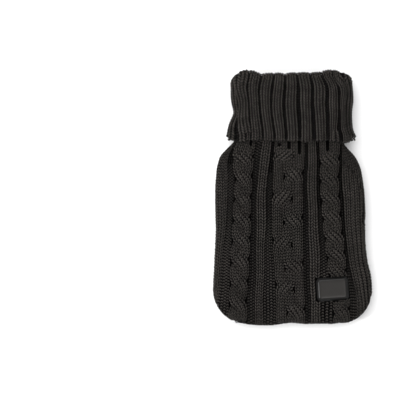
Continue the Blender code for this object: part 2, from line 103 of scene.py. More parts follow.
LEAST_GROUND = 0.5  # the thinnest that the ground gets
# Painted shade in the stitches' colour: less light in deep valleys, at the sides of narrow purl valleys and
# on the flat bands
LEAST_LIGHT = 0.46  # the light left on a purl stitch in the deepest valley
PURL_SIDE_PAINTED_SHADE = 0.75  # how much darker a narrow purl valley is at its sides
FLAT_LIGHT = 0.9  # the flat bands at the sides lie a little in shade
PATCH_HIDES = 1.0  # stitches nearer than this to the patch are hidden by it and left out

# Corners
BOTTOM_LEFT_CORNER, BOTTOM_RIGHT_CORNER = 28.0, 25.5
MOUTH_CORNER, HEM_CORNER = 7.0, 5.2
FOLD_ROOM = 0.3  # the stitches' own height over the fold

# The patch
PATCH_ACROSS, PATCH_UP = 32.3, -73.1
PATCH_WIDTH, PATCH_LENGTH = 23.6, 16.8
PATCH_TURN = math.radians(4.0)
PATCH_CORNER = 2.4
PATCH_GAP = 0.3
PATCH_MARGIN, PATCH_FADE = 0.8, 2.4  # how far round the patch the cloth is pressed, and over which it rises
PRESSED = 0.4  # how high the cloth stands under the patch
RING_STEPS = 6
LEAST_CORNER, CORNER_SHRINKS = 0.05, 0.8  # how the rings' corners get smaller inwards

# Steps
SIDE_STEP = 3.0
CORNER_STEPS = 12
FOLD_TURNS = 9
NEAR = 0.12  # a small step across a wale, as a share of its width
ACROSS = (-NEAR, 0.0, NEAR)  # the left, middle and right path of a wale
SLOPE_STEP = 0.5  # each way, to find how steeply a sheet rises to the neck
ROLL_STEPS, ROLL_PARTS = 7, 40
GROUND_STEPS, GROUND_INSIDE, GROUND_COLLAR = 86, 14, 44  # up the body, inside the neck, down the collar
GROUND_LINES = {"purl": 4, "rib": 6, "flat": 8}  # across each band of the front
CABLE_LINES, BACK_LINES = 16, 47
GROUND_TOP = HEM_UP + 4.0  # where the body's ground ends, in under the collar
GROUND_BREAK = 2.0  # how far above that the ground inside the neck starts
INSIDE_STEPS = 6  # rows of points inside the mouth
# The sides of the yarn, fewer where it shows less
FRONT_SIDES, BACK_COLLAR_SIDES, BACK_BODY_SIDES, EDGE_SIDES = 6, 5, 4, 5


def table(kind, *rows):
    """A table of rows of one kind."""
    return tuple(kind(*row) for row in rows)


class Sides(NamedTuple):
    """How far something reaches to the left and to the right at one place up the cover."""

    up: float
    left: float
    right: float


class Line(NamedTuple):
    """One point of an uneven edge that runs across the cover."""

    across: float
    up: float


# The cloth's two sides
OUTLINE = table(
    Sides,
    (-76.0, -63.4, 64.2), (-66.0, -62.8, 63.8), (-48.0, -62.0, 60.2), (-25.0, -61.1, 58.9),
    (-5.0, -61.6, 58.7), (14.0, -61.3, 57.2), (27.0, -59.7, 54.1), (34.0, -57.2, 50.2),
    (40.0, -51.6, 44.6), (45.0, -46.6, 41.2), (50.0, -44.2, 42.0), (57.0, -43.5, 43.2),
    (68.0, -43.1, 44.4), (78.0, -45.1, 45.6), (88.0, -45.2, 44.8), (102.0, -45.6, 44.0),
)
# How far the collar's sides stand off the neck, beyond the layers' own distance
FLARES = table(
    Sides,
    (44.0, 4.6, 5.6), (49.0, 4.7, 5.5), (57.0, 3.7, 2.0), (68.0, 0.0, 0.0),
    (78.0, 0.0, 0.0),
)
BOTTOM_EDGE = table(
    Line,
    (-64.0, -102.2), (-52.0, -101.9), (-44.0, -101.3), (-32.0, -102.5), (-14.0, -102.8),
    (0.0, -100.7), (12.0, -101.9), (22.0, -101.5), (31.0, -101.9), (40.0, -100.9),
    (48.0, -101.3), (64.0, -101.0),
)
MOUTH_EDGE = table(
    Line,
    (-46.0, 100.8), (-37.0, 101.6), (-30.0, 100.2), (-16.0, 99.7), (-2.0, 99.4),
    (6.0, 100.4), (20.0, 99.6), (36.0, 102.4), (44.0, 101.8),
)
COLLAR_HEM = table(
    Line,
    (-48.0, 44.2), (-36.0, 45.2), (-20.0, 45.2), (4.0, 44.6), (46.0, 44.4),
)


class Band(NamedTuple):
    """A band of the front's pattern: its form, its wales and its left edge at each of BAND_UPS."""

    form: str
    wales: int
    edges: tuple


BAND_UPS = (-84.0, -50.0, -14.0, 14.0, 38.0, 50.0)
BANDS = table(
    Band,
    ("flat", 4, ()),
    ("purl", 4, (-59.6, -56.0, -52.4, -51.4, -48.8, -42.0)),
    ("left_rope", 4, (-50.4, -48.8, -47.6, -46.0, -46.0, -40.0)),
    ("purl", 3, (-35.6, -34.2, -33.2, -31.6, -30.0, -29.0)),
    ("rib", 2, (-29.6, -29.2, -28.4, -27.2, -24.8, -23.6)),
    ("purl", 4, (-23.2, -22.4, -20.4, -20.0, -17.0, -16.2)),
    ("plait", 6, (-12.8, -14.4, -15.6, -15.6, -14.6, -14.2)),
    ("purl", 2, (10.4, 9.2, 8.4, 8.8, 10.4, 10.4)),
    ("rib", 2, (15.2, 14.0, 12.4, 12.0, 13.2, 13.2)),
    ("purl", 3, (23.2, 22.0, 20.4, 20.0, 19.6, 19.2)),
    ("right_rope", 4, (32.8, 27.6, 24.0, 22.8, 22.0, 21.6)),
    ("purl", 3, (46.0, 42.8, 39.2, 37.6, 37.4, 37.6)),
    ("flat", 5, (52.0, 45.6, 42.0, 40.0, 39.4, 40.0)),
)

# The collar's valleys, from the left: each one's place across at each of VALLEY_UPS
VALLEY_UPS = (49.0, 73.0, 91.0, 97.0)
VALLEYS = (
    (-39.9, -41.2, -43.4, -43.6),
    (-33.2, -34.8, -35.9, -34.4),
    (-23.8, -25.8, -26.0, -24.4),
    (-14.2, -16.6, -15.7, -14.6),
    (-4.6, -6.2, -5.7, -5.8),
    (6.2, 5.0, 4.2, 3.0),
    (17.6, 15.9, 15.4, 13.6),
    (28.6, 27.4, 26.8, 23.4),
    (35.7, 37.1, 35.9, 32.0),
    (39.3, 41.3, 41.3, 38.4),
)
# Half the width of each valley at each of VALLEY_UPS
VALLEY_HALVES = (
    (1.1, 0.7, 0.15, 0.15),
    (0.8, 0.6, 0.75, 0.85),
    (0.7, 0.65, 0.75, 0.85),
    (0.8, 0.8, 1.0, 0.8),
    (1.2, 1.0, 0.8, 0.7),
    (1.0, 1.2, 1.0, 0.8),
    (1.5, 1.3, 1.1, 0.9),
    (1.3, 1.4, 1.0, 0.8),
    (0.7, 0.6, 0.6, 0.6),
    (0.6, 0.6, 0.6, 0.6),
)
HEM_VALLEYS = range(1, len(VALLEYS) - 2)  # the valleys at which the hem is drawn up
VALLEY_PURLS = ((-0.5, 0.0), (0.5, 0.5))  # each purl wale's place in half widths, and its shift in rows
VALLEY_FULL = 0.45  # a valley narrower than this to each side is shallower too
VALLEY_ROOM = 0.6  # the most of the way to the collar's side that half a valley takes
VALLEY_SLOPE, VALLEY_INSET = 1.3, 0.4  # how a valley's walls rise in the ground
FOLD_REACH = 6.0  # over which the ribbing grows down from the fold
HEM_REACH, HEM_RELIEF = 2.2, 0.8  # over which it sinks to the hem, and how much of it is left there
FOLD_RELIEF = 0.3  # how much of the ribbing shows where the collar turns over


class Cable(NamedTuple):
    """Strands that cross at even steps down the cover, starting with the crossing at top."""

    strands: int
    top: float
    pitch: float
    crossing: float
    crossings: tuple
    height: float
    lift: float


# A crossing is a pair of slots: the first one's strand goes in front to the second, the other goes behind.
CABLES = {
    "left_rope": Cable(2, 33.2, 16.8, 15.0, ((0, 1),), ROPE_HEIGHT, ROPE_LIFT),
    "right_rope": Cable(2, 29.6, 15.1, 13.6, ((0, 1),), ROPE_HEIGHT, ROPE_LIFT),
    "plait": Cable(3, 36.5, 18.1, 15.0, ((1, 0), (1, 2)), PLAIT_HEIGHT, PLAIT_LIFT),
}


class Crease(NamedTuple):
    """A soft trough across the front, from one place to another."""

    start: tuple
    end: tuple
    width: float
    depth: float


CREASES = table(
    Crease,
    ((41.0, 28.5), (48.5, 20.0), 1.3, 1.5), ((51.2, 15.0), (53.6, 7.0), 1.0, 0.8),
    ((54.8, 6.0), (56.4, -20.0), 0.8, 1.3), ((42.5, 22.5), (46.0, 12.0), 2.8, -1.5),
    ((-50.0, 36.0), (-58.0, 16.0), 3.4, 0.6), ((-49.5, 39.5), (-46.5, 37.0), 1.2, 1.2),
    ((48.0, -62.5), (53.0, -74.5), 1.4, 0.8),
)


class Groove(NamedTuple):
    """The end of a purl valley of the neck's ribbing: a wedge that opens upwards, in under the hem."""

    across: float
    start: float
    half: float
    depth: float


GROOVES = table(
    Groove,
    (-32.8, 35.5, 0.8, 1.8), (-10.6, 38.5, 0.5, 1.2), (-3.2, 36.5, 0.8, 2.2),
    (6.0, 34.5, 1.1, 2.2), (28.3, 37.5, 0.8, 2.2),
)
GROOVE_OPENS = 4.0  # how far up from its start a groove is wide open
CABLES_START = 37.5  # above this the cables run straight up into the neck's ribbing


class Wave(NamedTuple):
    """A slow wave that makes the lying cloth uneven: mm each way, and how fast it turns across and up."""

    move: tuple
    turns: tuple
    phase: float


WAVES = table(
    Wave,
    ((0.3, 0.16, 0.2), (0.11, 0.06), 1.3), ((0.2, -0.3, 0.12), (-0.05, 0.17), 4.1),
    ((-0.14, 0.34, 0.1), (0.23, 0.03), 0.5), ((0.12, 0.2, -0.08), (0.41, -0.07), 2.2),
)
WAVE_FADE = 9.0  # over which the waves sink to the cloth's edge


class Side(NamedTuple):
    """One of the two panels: which way it faces and how far its middle lies from the seams."""

    name: str
    faces: int
    seam: float
    body_rise: float
    neck_rise: float
    proud: float
    collar_proud: float


HALF_SEAM = SEAM_GAP / 2
FRONT = Side(
    name="front",
    faces=1,
    seam=SEAM_HEIGHT + HALF_SEAM,
    body_rise=FRONT_BODY - SEAM_HEIGHT - HALF_SEAM,
    neck_rise=FRONT_NECK - SEAM_HEIGHT - HALF_SEAM,
    proud=0.1,
    collar_proud=0.1,
)
BACK = Side(
    name="back",
    faces=-1,
    seam=SEAM_HEIGHT - HALF_SEAM,
    body_rise=SEAM_HEIGHT - HALF_SEAM - BACK_BODY,
    neck_rise=SEAM_HEIGHT - HALF_SEAM - BACK_NECK,
    proud=-0.15,
    collar_proud=-1.05,
)
BACK_WALES = 38
BODY_STEPS, STRAND_STEPS = 150, 260
WIDEST_SLANT = 1.3  # the most that a slanting strand is widened
CABLE_RIM = 0.3  # how far a cable's stitches keep in from its two edges
RIB_WALES = 2  # the knit wales of each rib of the collar
COLLAR_STEPS = 46
SEAM_BREADTH = 3.2
HEM_STEPS = 180
HEM_TUCK, HEM_LEAN = 0.5, 0.25  # how far the chain lies in from the cloth's end, and how it leans outwards
HEM_BREADTH, HEM_CHAIN = 3.0, 2.9  # the chain's breadth and the length of its stitches
HEM_SCALLOP, HEM_CUT = 1.2, 1.7  # how far the hem is drawn up at each valley
HEM_DROP = 0.6  # how far the hem goes down into the valleys
HEM_TONES = (0.55, 0.85)


# ---------------------------------------------------------------- shapes of the cloth


def smooth(place, places, values):
    """A smooth curve through a short table, level beyond its ends."""
    places, values = np.asarray(places, float), np.asarray(values, float)
    place = np.clip(np.asarray(place, float), places[0], places[-1])
    slopes = np.gradient(values, places)
    index = np.clip(np.searchsorted(places, place, side="right") - 1, 0, len(places) - 2)
    step = places[index + 1] - places[index]
    share = (place - places[index]) / step
    start, end = values[index], values[index + 1]
    leave, reach = slopes[index] * step, slopes[index + 1] * step
    bend = 2 * start - 2 * end + leave + reach
    pull = -3 * start + 3 * end - 2 * leave - reach
    return ((bend * share + pull) * share + leave) * share + start


def ease(share):
    """A soft step from 0 to 1."""
    share = np.clip(share, 0.0, 1.0)
    return share * share * (3.0 - 2.0 * share)


def column(rows, name):
    """One named column of a table."""
    return [getattr(row, name) for row in rows]


def corner(radius, inwards):
    """How far a round corner cuts back at one distance inwards from its side."""
    short = radius - np.clip(inwards, 0.0, radius)
    return radius - np.sqrt(radius**2 - short**2)


def unit(vectors):
    """Vectors made one long."""
    return vectors / np.linalg.norm(vectors, axis=-1, keepdims=True)


class Outline:
    """The edge of a sheet's middle seen from above: its left side, its bottom if any, and its right side."""

    def __init__(self, left, bottom, right):
        points = np.array([*left, *bottom, *right], float)
        along = np.gradient(points, axis=0)
        self.inward = unit(np.stack((-along[:, 1], along[:, 0]), axis=1))
        self.points = points + self.inward * CLOTH / 2
        self.left = self.points[: len(left)][::-1]
        self.bottom = self.points[len(left) - 1 : len(points) - len(right) + 1]
        self.right = self.points[len(points) - len(right) :]

    def sides(self, up):
        """The left and right ends of the sheet's middle at some places up."""
        left = np.interp(up, self.left[:, 1], self.left[:, 0])
        right = np.interp(up, self.right[:, 1], self.right[:, 0])
        return left, right

    def foot(self, across):
        """How far down the sheet's middle reaches at one place across."""
        return np.interp(across, self.bottom[:, 0], self.bottom[:, 1])

    def nearest(self, across, up):
        """The distance to the edge and the direction from it into the cloth, for arrays of places."""
        spots = np.stack(np.broadcast_arrays(across, up), axis=-1).astype(float)
        starts = self.points[:-1]
        steps = self.points[1:] - starts
        lengths = (steps**2).sum(1)
        shares = np.clip(((spots[:, None] - starts) * steps).sum(2) / lengths, 0.0, 1.0)
        feet = starts + steps * shares[..., None]
        gaps = np.linalg.norm(feet - spots[:, None], axis=2)
        index = gaps.argmin(1)
        each = np.arange(len(spots))
        share = shares[each, index][:, None]
        inward = unit(self.inward[index] * (1 - share) + self.inward[index + 1] * share)
        inside = ((spots - feet[each, index]) * inward).sum(1) > 0
        return np.where(inside, gaps[each, index], 0.0), inward


def side_line(which, low, high):
    """Points up one side, from the table of outlines."""
    ups = np.linspace(low, high, int((high - low) / SIDE_STEP) + 1)
    across = smooth(ups, column(OUTLINE, "up"), column(OUTLINE, which))
    return list(zip(across, ups))


def bottom_line():
    """Points along the bottom edge, between the ends of its two round corners."""
    left, right = OUTLINE[0].left, OUTLINE[0].right
    turns = [math.pi / 2 * step / CORNER_STEPS for step in range(1, CORNER_STEPS + 1)]
    places = [left + BOTTOM_LEFT_CORNER * (1 - math.cos(turn)) for turn in turns]
    places += list(np.linspace(places[-1], right - BOTTOM_RIGHT_CORNER, CORNER_STEPS)[1:])
    places += [right - BOTTOM_RIGHT_CORNER * (1 - math.cos(turn)) for turn in turns[-2::-1]]
    places = np.array(places)
    ups = smooth(places, column(BOTTOM_EDGE, "across"), column(BOTTOM_EDGE, "up"))
    ups += corner(BOTTOM_LEFT_CORNER, places - left) + corner(BOTTOM_RIGHT_CORNER, right - places)
    return list(zip(places, ups))


def body_outline():
    """The whole sheet's edge, from the mouth down one side, across the bottom and up the other."""
    top = OUTLINE[-1].up
    left = side_line("left", BOTTOM_EDGE[0].up + BOTTOM_LEFT_CORNER, top)[::-1]
    right = side_line("right", BOTTOM_EDGE[-1].up + BOTTOM_RIGHT_CORNER, top)
    return Outline(left, bottom_line(), right)


def neck_outline():
    """The neck's two sides alone, running on straight below the hem."""
    low, top = NECK_STARTS, OUTLINE[-1].up
    left = [(side_line("left", NECK_UP, top)[0][0], low), *side_line("left", NECK_UP, top)]
    right = [(side_line("right", NECK_UP, top)[0][0], low), *side_line("right", NECK_UP, top)]
    return Outline(left[::-1], [], right)


BODY_EDGE = body_outline()
NECK_EDGE = neck_outline()


def refit(across, sides, new_sides):
    """A place across, kept at the same share between two sides that move."""
    share = (across - sides[0]) / (sides[1] - sides[0])
    return new_sides[0] + share * (new_sides[1] - new_sides[0])


def band_line(index, share):
    """The place across, at any places up, of a line that follows one band of the front."""

    def across(up):
        level = np.minimum(up, NECK_UP)
        left, right = BODY_EDGE.sides(level)
        ends = [left, *(smooth(level, BAND_UPS, band.edges) for band in BANDS[1:]), right]
        spot = ends[index] + share * (ends[index + 1] - ends[index])
        return refit(spot, (left, right), BODY_EDGE.sides(up))

    return across


def valley_line(index, aside):
    """The place across, at any places up, of a line beside a collar valley's middle, in half widths."""

    def across(up):
        level = np.maximum(up, VALLEY_UPS[0])
        sides = BODY_EDGE.sides(level)
        ridge = smooth(level, VALLEY_UPS, VALLEYS[index])
        room = (sides[1] - sides[0]) / 2 - abs(ridge - sum(sides) / 2)
        reach = np.minimum(smooth(level, VALLEY_UPS, VALLEY_HALVES[index]), VALLEY_ROOM * room)
        return refit(ridge + aside * reach, sides, BODY_EDGE.sides(up))

    return across


def even_line(share):
    """A line at one share of the way between the two sides."""
    return lambda up: refit(share, (0.0, 1.0), BODY_EDGE.sides(up))


def between(first, second, share):
    """A line at one share of the way from one line to another."""
    return lambda up: first(up) * (1 - share) + second(up) * share


def rise_at(side, up):
    """How far a sheet's middle lies from the seams, where it isn't rolled down to them."""
    share = ease((up - NECK_STARTS) / (NECK_STANDS - NECK_STARTS))
    return side.body_rise + (side.neck_rise - side.body_rise) * share


def waves(places, faces):
    """How the slow waves move some places of the cloth; what lies on the surface stays down on it."""
    moves = np.zeros_like(places)
    for wave in WAVES:
        turn = places[:, 0] * wave.turns[0] + places[:, 1] * wave.turns[1] + wave.phase
        moves += np.sin(turn)[:, None] * wave.move
    if faces < 0:
        moves[:, 2] = 0.0
    return moves


def lie(side, outline, across, up, collar=False):
    """The sheet's middle at some places, and the way outwards there; the collar lies outside the neck."""
    across, up = np.broadcast_arrays(np.asarray(across, float), np.asarray(up, float))
    distance, inward = outline.nearest(across, up)
    turn = np.arccos(np.clip(1.0 - distance / SIDE_ROLL, 0.0, 1.0))
    rise = rise_at(side, up)
    slope = (rise_at(side, up + SLOPE_STEP) - rise_at(side, up - SLOPE_STEP)) / (2 * SLOPE_STEP)
    sine, cosine = np.sin(turn), np.cos(turn)
    middle = np.stack((across, up, side.seam + side.faces * rise * sine), axis=1)
    sideways = -(rise * cosine)[:, None] * inward
    sideways[:, 1] -= slope * SIDE_ROLL * sine * sine
    outward = unit(np.column_stack((sideways, side.faces * SIDE_ROLL * sine)))
    if collar:
        left = smooth(up, column(FLARES, "up"), column(FLARES, "left"))
        right = smooth(up, column(FLARES, "up"), column(FLARES, "right"))
        flare = np.where(inward[:, 0] > 0, left, right) * cosine
        middle = middle + outward * LAYER
        middle[:, :2] -= inward * flare[:, None]
    middle = middle + waves(middle, side.faces) * ease(distance / WAVE_FADE)[:, None]
    return middle, outward


def mouth_up(line):
    """Where the fold's centre lies on one line."""
    across = line(MOUTH_UP)
    sides = BODY_EDGE.sides(MOUTH_UP)
    top = smooth(across, column(MOUTH_EDGE, "across"), column(MOUTH_EDGE, "up"))
    top = top - corner(MOUTH_CORNER, across - sides[0]) - corner(MOUTH_CORNER, sides[1] - across)
    return float(top - LAYER / 2 - CLOTH / 2 - FOLD_ROOM)


def hem_up(line):
    """Where the collar's hem lies on one line."""
    across = line(NECK_UP)
    sides = BODY_EDGE.sides(NECK_UP)
    low = smooth(across, column(COLLAR_HEM, "across"), column(COLLAR_HEM, "up"))
    low = low + corner(HEM_CORNER, across - sides[0]) + corner(HEM_CORNER, sides[1] - across)
    valleys = np.array([valley_line(number, 0.0)(NECK_UP) for number in HEM_VALLEYS])
    return float(low + HEM_SCALLOP * np.exp(-(((valleys - across) / HEM_CUT) ** 2)).sum())


def roll_ups(line, high, steps):
    """Places up a line of the body, closer together where it rolls down to the bottom seam."""
    foot = float(BODY_EDGE.foot(line(BOTTOM_LEVEL)))
    turns = np.linspace(0.0, math.pi / 2, ROLL_STEPS)[:-1]
    rolled_part = foot + SIDE_ROLL * (1 - np.cos(turns))
    return np.concatenate((rolled_part, np.linspace(foot + SIDE_ROLL, high, steps)))


ROLL_TABLE = np.linspace(0.0, math.pi / 2, ROLL_PARTS)
ROLL_IN = SIDE_ROLL * (1 - np.cos(ROLL_TABLE))


def rolled(share, width, rise):
    """The plan distance from the side seam at one share of the cloth's own width, where it rolls down."""
    drops = rise * np.sin(ROLL_TABLE)
    lengths = np.concatenate(([0.0], np.cumsum(np.hypot(np.diff(ROLL_IN), np.diff(drops)))))
    place = share * (width - SIDE_ROLL + lengths[-1])
    return np.where(place < lengths[-1], np.interp(place, lengths, ROLL_IN), SIDE_ROLL + place - lengths[-1])


def rolled_line(outer, inner, share, rise):
    """A line at one share of the cloth's own width from an outer line that rolls down to an inner one."""

    def across(up):
        width = inner(up) - outer(up)
        return outer(up) + np.sign(width) * rolled(share, abs(width), rise)

    return across


def flat_line(index, share):
    """A line of a flat band at a side, at one share of the cloth's width there, rolled part and all."""
    if index == 0:
        return rolled_line(even_line(0.0), band_line(index, 1.0), share, FRONT.body_rise)
    return rolled_line(even_line(1.0), band_line(index, 0.0), 1.0 - share, FRONT.body_rise)


def back_line(share):
    """A line of the back at one share of the cloth's own width."""

    def across(up):
        left, right = BODY_EDGE.sides(up)
        half = (right - left) / 2
        reach = rolled(min(share, 1.0 - share) * 2, half, BACK.body_rise)
        return left + reach if share <= 0.5 else right - reach

    return across


class Turned(NamedTuple):
    """A line from inside the mouth, over the fold and down the collar."""

    middle: np.ndarray
    hidden: np.ndarray  # the way to the face that ends up inside the collar
    shown: np.ndarray  # how much of the ribbing stands out: none inside, all of it down the collar
    across: np.ndarray  # the same places on the neck
    up: np.ndarray


def turned_spots(side, line, below, neck_rows, collar_rows):
    """One line from inside the mouth, over the fold and down the collar."""
    mouth, hem = mouth_up(line), hem_up(line)
    inner = np.linspace(mouth - below, mouth, neck_rows + 1)
    middle, outward = lie(side, BODY_EDGE, line(inner), inner)
    base, out = middle[-1], outward[-1]
    ahead = np.array([0.0, 1.0, 0.0])
    turns = np.linspace(0.0, math.pi, FOLD_TURNS)[:-1]
    rise, forth = LAYER / 2 * (1 - np.cos(turns)), LAYER / 2 * np.sin(turns)
    fold = base + rise[:, None] * out + forth[:, None] * ahead
    fold_face = np.cos(turns)[:, None] * out - np.sin(turns)[:, None] * ahead
    outer = np.linspace(mouth, hem, collar_rows + 1)
    level = np.maximum(outer, NECK_UP)
    across = refit(line(level), BODY_EDGE.sides(level), NECK_EDGE.sides(outer))
    collar, collar_face = lie(side, NECK_EDGE, across, outer, collar=True)
    growing = FOLD_RELIEF + (1.0 - FOLD_RELIEF) * ease((mouth - outer) / FOLD_REACH)
    ending = HEM_RELIEF + (1.0 - HEM_RELIEF) * ease((outer - hem) / HEM_REACH)
    flat = np.zeros(neck_rows)
    turned = np.full(len(turns), mouth)
    return Turned(
        np.concatenate((middle[:-1], fold, collar)),
        np.concatenate((outward[:-1], fold_face, -collar_face)),
        np.concatenate((flat, np.full(len(turns), FOLD_RELIEF), growing * ending)),
        np.concatenate((line(inner[:-1]), line(turned), line(level))),
        np.concatenate((inner[:-1], turned, level)),
    )


# ---------------------------------------------------------------- the front's raised pattern


def strand_paths(cable, up):
    """Each strand's middle and half width down a cable, in shares of its width, and its lift."""
    slots = np.empty((len(up), cable.strands))
    lifts = np.zeros((len(up), cable.strands))
    swells = np.ones((len(up), cable.strands))
    for row, level in enumerate(up):
        holders = list(range(cable.strands))
        step, start = 0, cable.top
        while start - cable.crossing / 2 > level:
            over, under = cable.crossings[step % len(cable.crossings)]
            holders[over], holders[under] = holders[under], holders[over]
            step, start = step + 1, start - cable.pitch
        for slot, strand in enumerate(holders):
            slots[row, strand] = slot
        begin, end = min(start + cable.crossing / 2, CABLES_START), start - cable.crossing / 2
        done = float(ease((begin - level) / (begin - end)))
        if done > 0:
            over, under = cable.crossings[step % len(cable.crossings)]
            bow = math.sin(math.pi * done)
            slots[row, holders[over]] = over + (under - over) * done
            slots[row, holders[under]] = under + (over - under) * done
            lifts[row, holders[over]] = cable.lift * bow
            lifts[row, holders[under]] = -cable.lift * bow
            swells[row, holders[over]] = 1.0 + STRAND_SWELL * bow
            swells[row, holders[under]] = 1.0 - STRAND_SHRINK * bow
    return (slots + 0.5) / cable.strands, swells * 0.5 / cable.strands, lifts


def overlap(cable_paths, strand, spots, left, right):
    """How far some places of a strand lie out from under the nearest strand in front of it."""
    middles, halves, lifts = cable_paths
    clear = np.full(len(spots), OPEN)
    for other in range(middles.shape[1]):
        centre = left + middles[:, other] * (right - left)
        gap = abs(spots - centre) - halves[:, other] * (right - left)
        clear = np.where(lifts[:, other] > lifts[:, strand] + TUCK_LIFT, np.minimum(clear, gap), clear)
    return clear


def cable_edge(share):
    """How a cable falls to its ground at its two edges."""
    return np.sqrt(np.clip(1.0 - (2.0 * share - 1.0) ** CABLE_EDGE, 0.0, 1.0))


def cable_relief(cable, share, up):
    """How far a cable's strands stand out at one share of its width; between them it is deep."""
    middles, halves, lifts = strand_paths(cable, up)
    off = (share - middles) / halves
    raised = lifts + cable.height * np.sqrt(np.clip(1.0 - off * off, 0.0, 1.0))
    each = np.where(abs(off) < 1.0, raised, -STRAND_GAP)
    return each.max(1) * cable_edge(share) - STRAND_GAP * (1 - cable_edge(share))


def purl_depth(index, up):
    """How deep a purl valley lies: the narrower, the deeper."""
    width = band_line(index, 1.0)(up) - band_line(index, 0.0)(up)
    return PURL_DEEP + (PURL_SHALLOW - PURL_DEEP) * ease((width - PURL_NARROW) / (PURL_WIDE - PURL_NARROW))


def band_relief(index, share, up):
    """How far one band of the front stands out of the sheet."""
    band = BANDS[index]
    if band.form == "purl":
        return -purl_depth(index, up) * math.sin(math.pi * share) ** 0.5
    if band.form == "rib":
        return np.full(len(up), RIB_HEIGHT * math.sqrt(max(math.sin(math.pi * share), 0.0)))
    if band.form == "flat":
        return np.zeros(len(up))
    return cable_relief(CABLES[band.form], share, up)


def patch_distance(across, up):
    """The distance outside the patch's edge, seen from above."""
    x, y = across - PATCH_ACROSS, up - PATCH_UP
    along = abs(x * math.cos(PATCH_TURN) + y * math.sin(PATCH_TURN)) - PATCH_WIDTH / 2
    beside = abs(y * math.cos(PATCH_TURN) - x * math.sin(PATCH_TURN)) - PATCH_LENGTH / 2
    return np.hypot(np.maximum(along, 0.0), np.maximum(beside, 0.0))


def crease_depth(across, up):
    """How deep the front's creases are at some places."""
    spots = np.stack((across, up), axis=1)
    depth = np.zeros(len(spots))
    for crease in CREASES:
        start, step = np.array(crease.start), np.array(crease.end) - crease.start
        share = np.clip(((spots - start) @ step) / (step @ step), 0.0, 1.0)
        gap = np.linalg.norm(start + share[:, None] * step - spots, axis=1)
        depth += crease.depth * np.exp(-((gap / crease.width) ** 2))
    return depth


def settle(height, across, up):
    """A raised height as it is after the hem, the seams, the creases and the patch have pressed it."""
    height = height * ease((HEM_UP + HEM_FADE / 2 - up) / HEM_FADE)
    height = height * ease(BODY_EDGE.nearest(across, up)[0] / SEAM_FADE)
    height = height - crease_depth(across, up)
    for groove in GROOVES:
        dip = groove.depth * np.exp(-(((across - groove.across) / groove.half) ** 2))
        height = height - dip * ease((up - groove.start) / GROOVE_OPENS)
    beside = ease((patch_distance(across, up) - PATCH_MARGIN) / PATCH_FADE)
    return PRESSED + (height - PRESSED) * beside


def collar_relief(share):
    """How far a rib of the collar stands out, at one share of its width."""
    round_off = math.sqrt(max(1.0 - (2.0 * share - 1.0) ** 2, 0.0))
    return COLLAR_VALLEY + (COLLAR_CREST - COLLAR_VALLEY) * round_off


# ---------------------------------------------------------------- wales: rows of stitches


class Wale(NamedTuple):
    """The stitches of one wale: where each stands, which way it grows and faces, and how broad it is."""

    places: np.ndarray
    along: np.ndarray
    outward: np.ndarray
    breadth: np.ndarray
    # light is painted shade: it darkens each stitch's colour, the more the deeper it lies
    light: np.ndarray  # 1 where the stitch lies open, less the deeper it lies


def chosen(wale, keep):
    """Some of a wale's stitches."""
    return Wale(*(values[keep] for values in wale))


def rows_of(paths, row, sign, shift=0.0, light=1.0):
    """Even rows along a wale from its left, middle and right paths, which share their steps."""
    left, middle, right = paths
    lengths = np.concatenate(([0.0], np.cumsum(np.linalg.norm(np.diff(middle, axis=0), axis=1))))
    count = max(int(round(lengths[-1] / row)), 2)
    marks = (np.arange(count) + 0.5 + shift) * lengths[-1] / count
    ends = np.clip(np.array([marks - row / 2, marks + row / 2]), 0.0, lengths[-1])

    def at(path, places):
        return np.stack([np.interp(places, lengths, path[:, axis]) for axis in range(3)], axis=1)

    across = (at(right, marks) - at(left, marks)) / (2 * NEAR)
    along = at(middle, ends[1]) - at(middle, ends[0])
    along *= (row / np.maximum(ends[1] - ends[0], row / 4))[:, None]
    outward = unit(np.cross(across, along)) * sign
    lit = np.interp(marks, lengths, np.broadcast_to(light, len(lengths)))
    return Wale(at(middle, marks), along, outward, np.linalg.norm(across, axis=1), lit)


def front_path(index, place):
    """One line of stitches up a flat, purled or ribbed band of the front's body, and the painted shade on
    it.
    """
    band = BANDS[index]
    line = flat_line(index, place) if band.form == "flat" else band_line(index, place)
    ups = roll_ups(line, BODY_TOP, BODY_STEPS)
    spots = line(ups)
    middle, outward = lie(FRONT, BODY_EDGE, spots, ups)
    relief = -purl_depth(index, ups) if band.form == "purl" else band_relief(index, place, ups)
    height = settle(relief, spots, ups)
    # Painted shade in the colour: darker the deeper the stitch lies, on the flat bands, and at the sides of
    # narrow purl valleys
    light = LEAST_LIGHT + (1 - LEAST_LIGHT) * ease((height + PURL_DEEP) / (PURL_DEEP - PURL_SHALLOW))
    if band.form == "flat":
        light = light * FLAT_LIGHT
    if band.form == "purl":
        aside = 2.0 * abs(place - 0.5)
        light = light * (1.0 - PURL_SIDE_PAINTED_SHADE * aside * purl_depth(index, ups) / PURL_DEEP)
    return middle + outward * (CLOTH / 2 + height + FRONT.proud - STITCH_DEPTH)[:, None], light


def front_wale(index, share, knit_row, shift=0.0, least=0.0):
    """One wale of a flat, purled or ribbed band at one share of its width, where broader than least."""
    left, middle, right = (front_path(index, share + near / BANDS[index].wales) for near in ACROSS)
    wale = shown_part(rows_of((left[0], middle[0], right[0]), knit_row, 1.0, shift, middle[1]))
    kept = chosen(wale, wale.breadth > least)
    if BANDS[index].form == "purl":
        kept = kept._replace(breadth=np.minimum(kept.breadth, PURL_BROAD))
    return kept


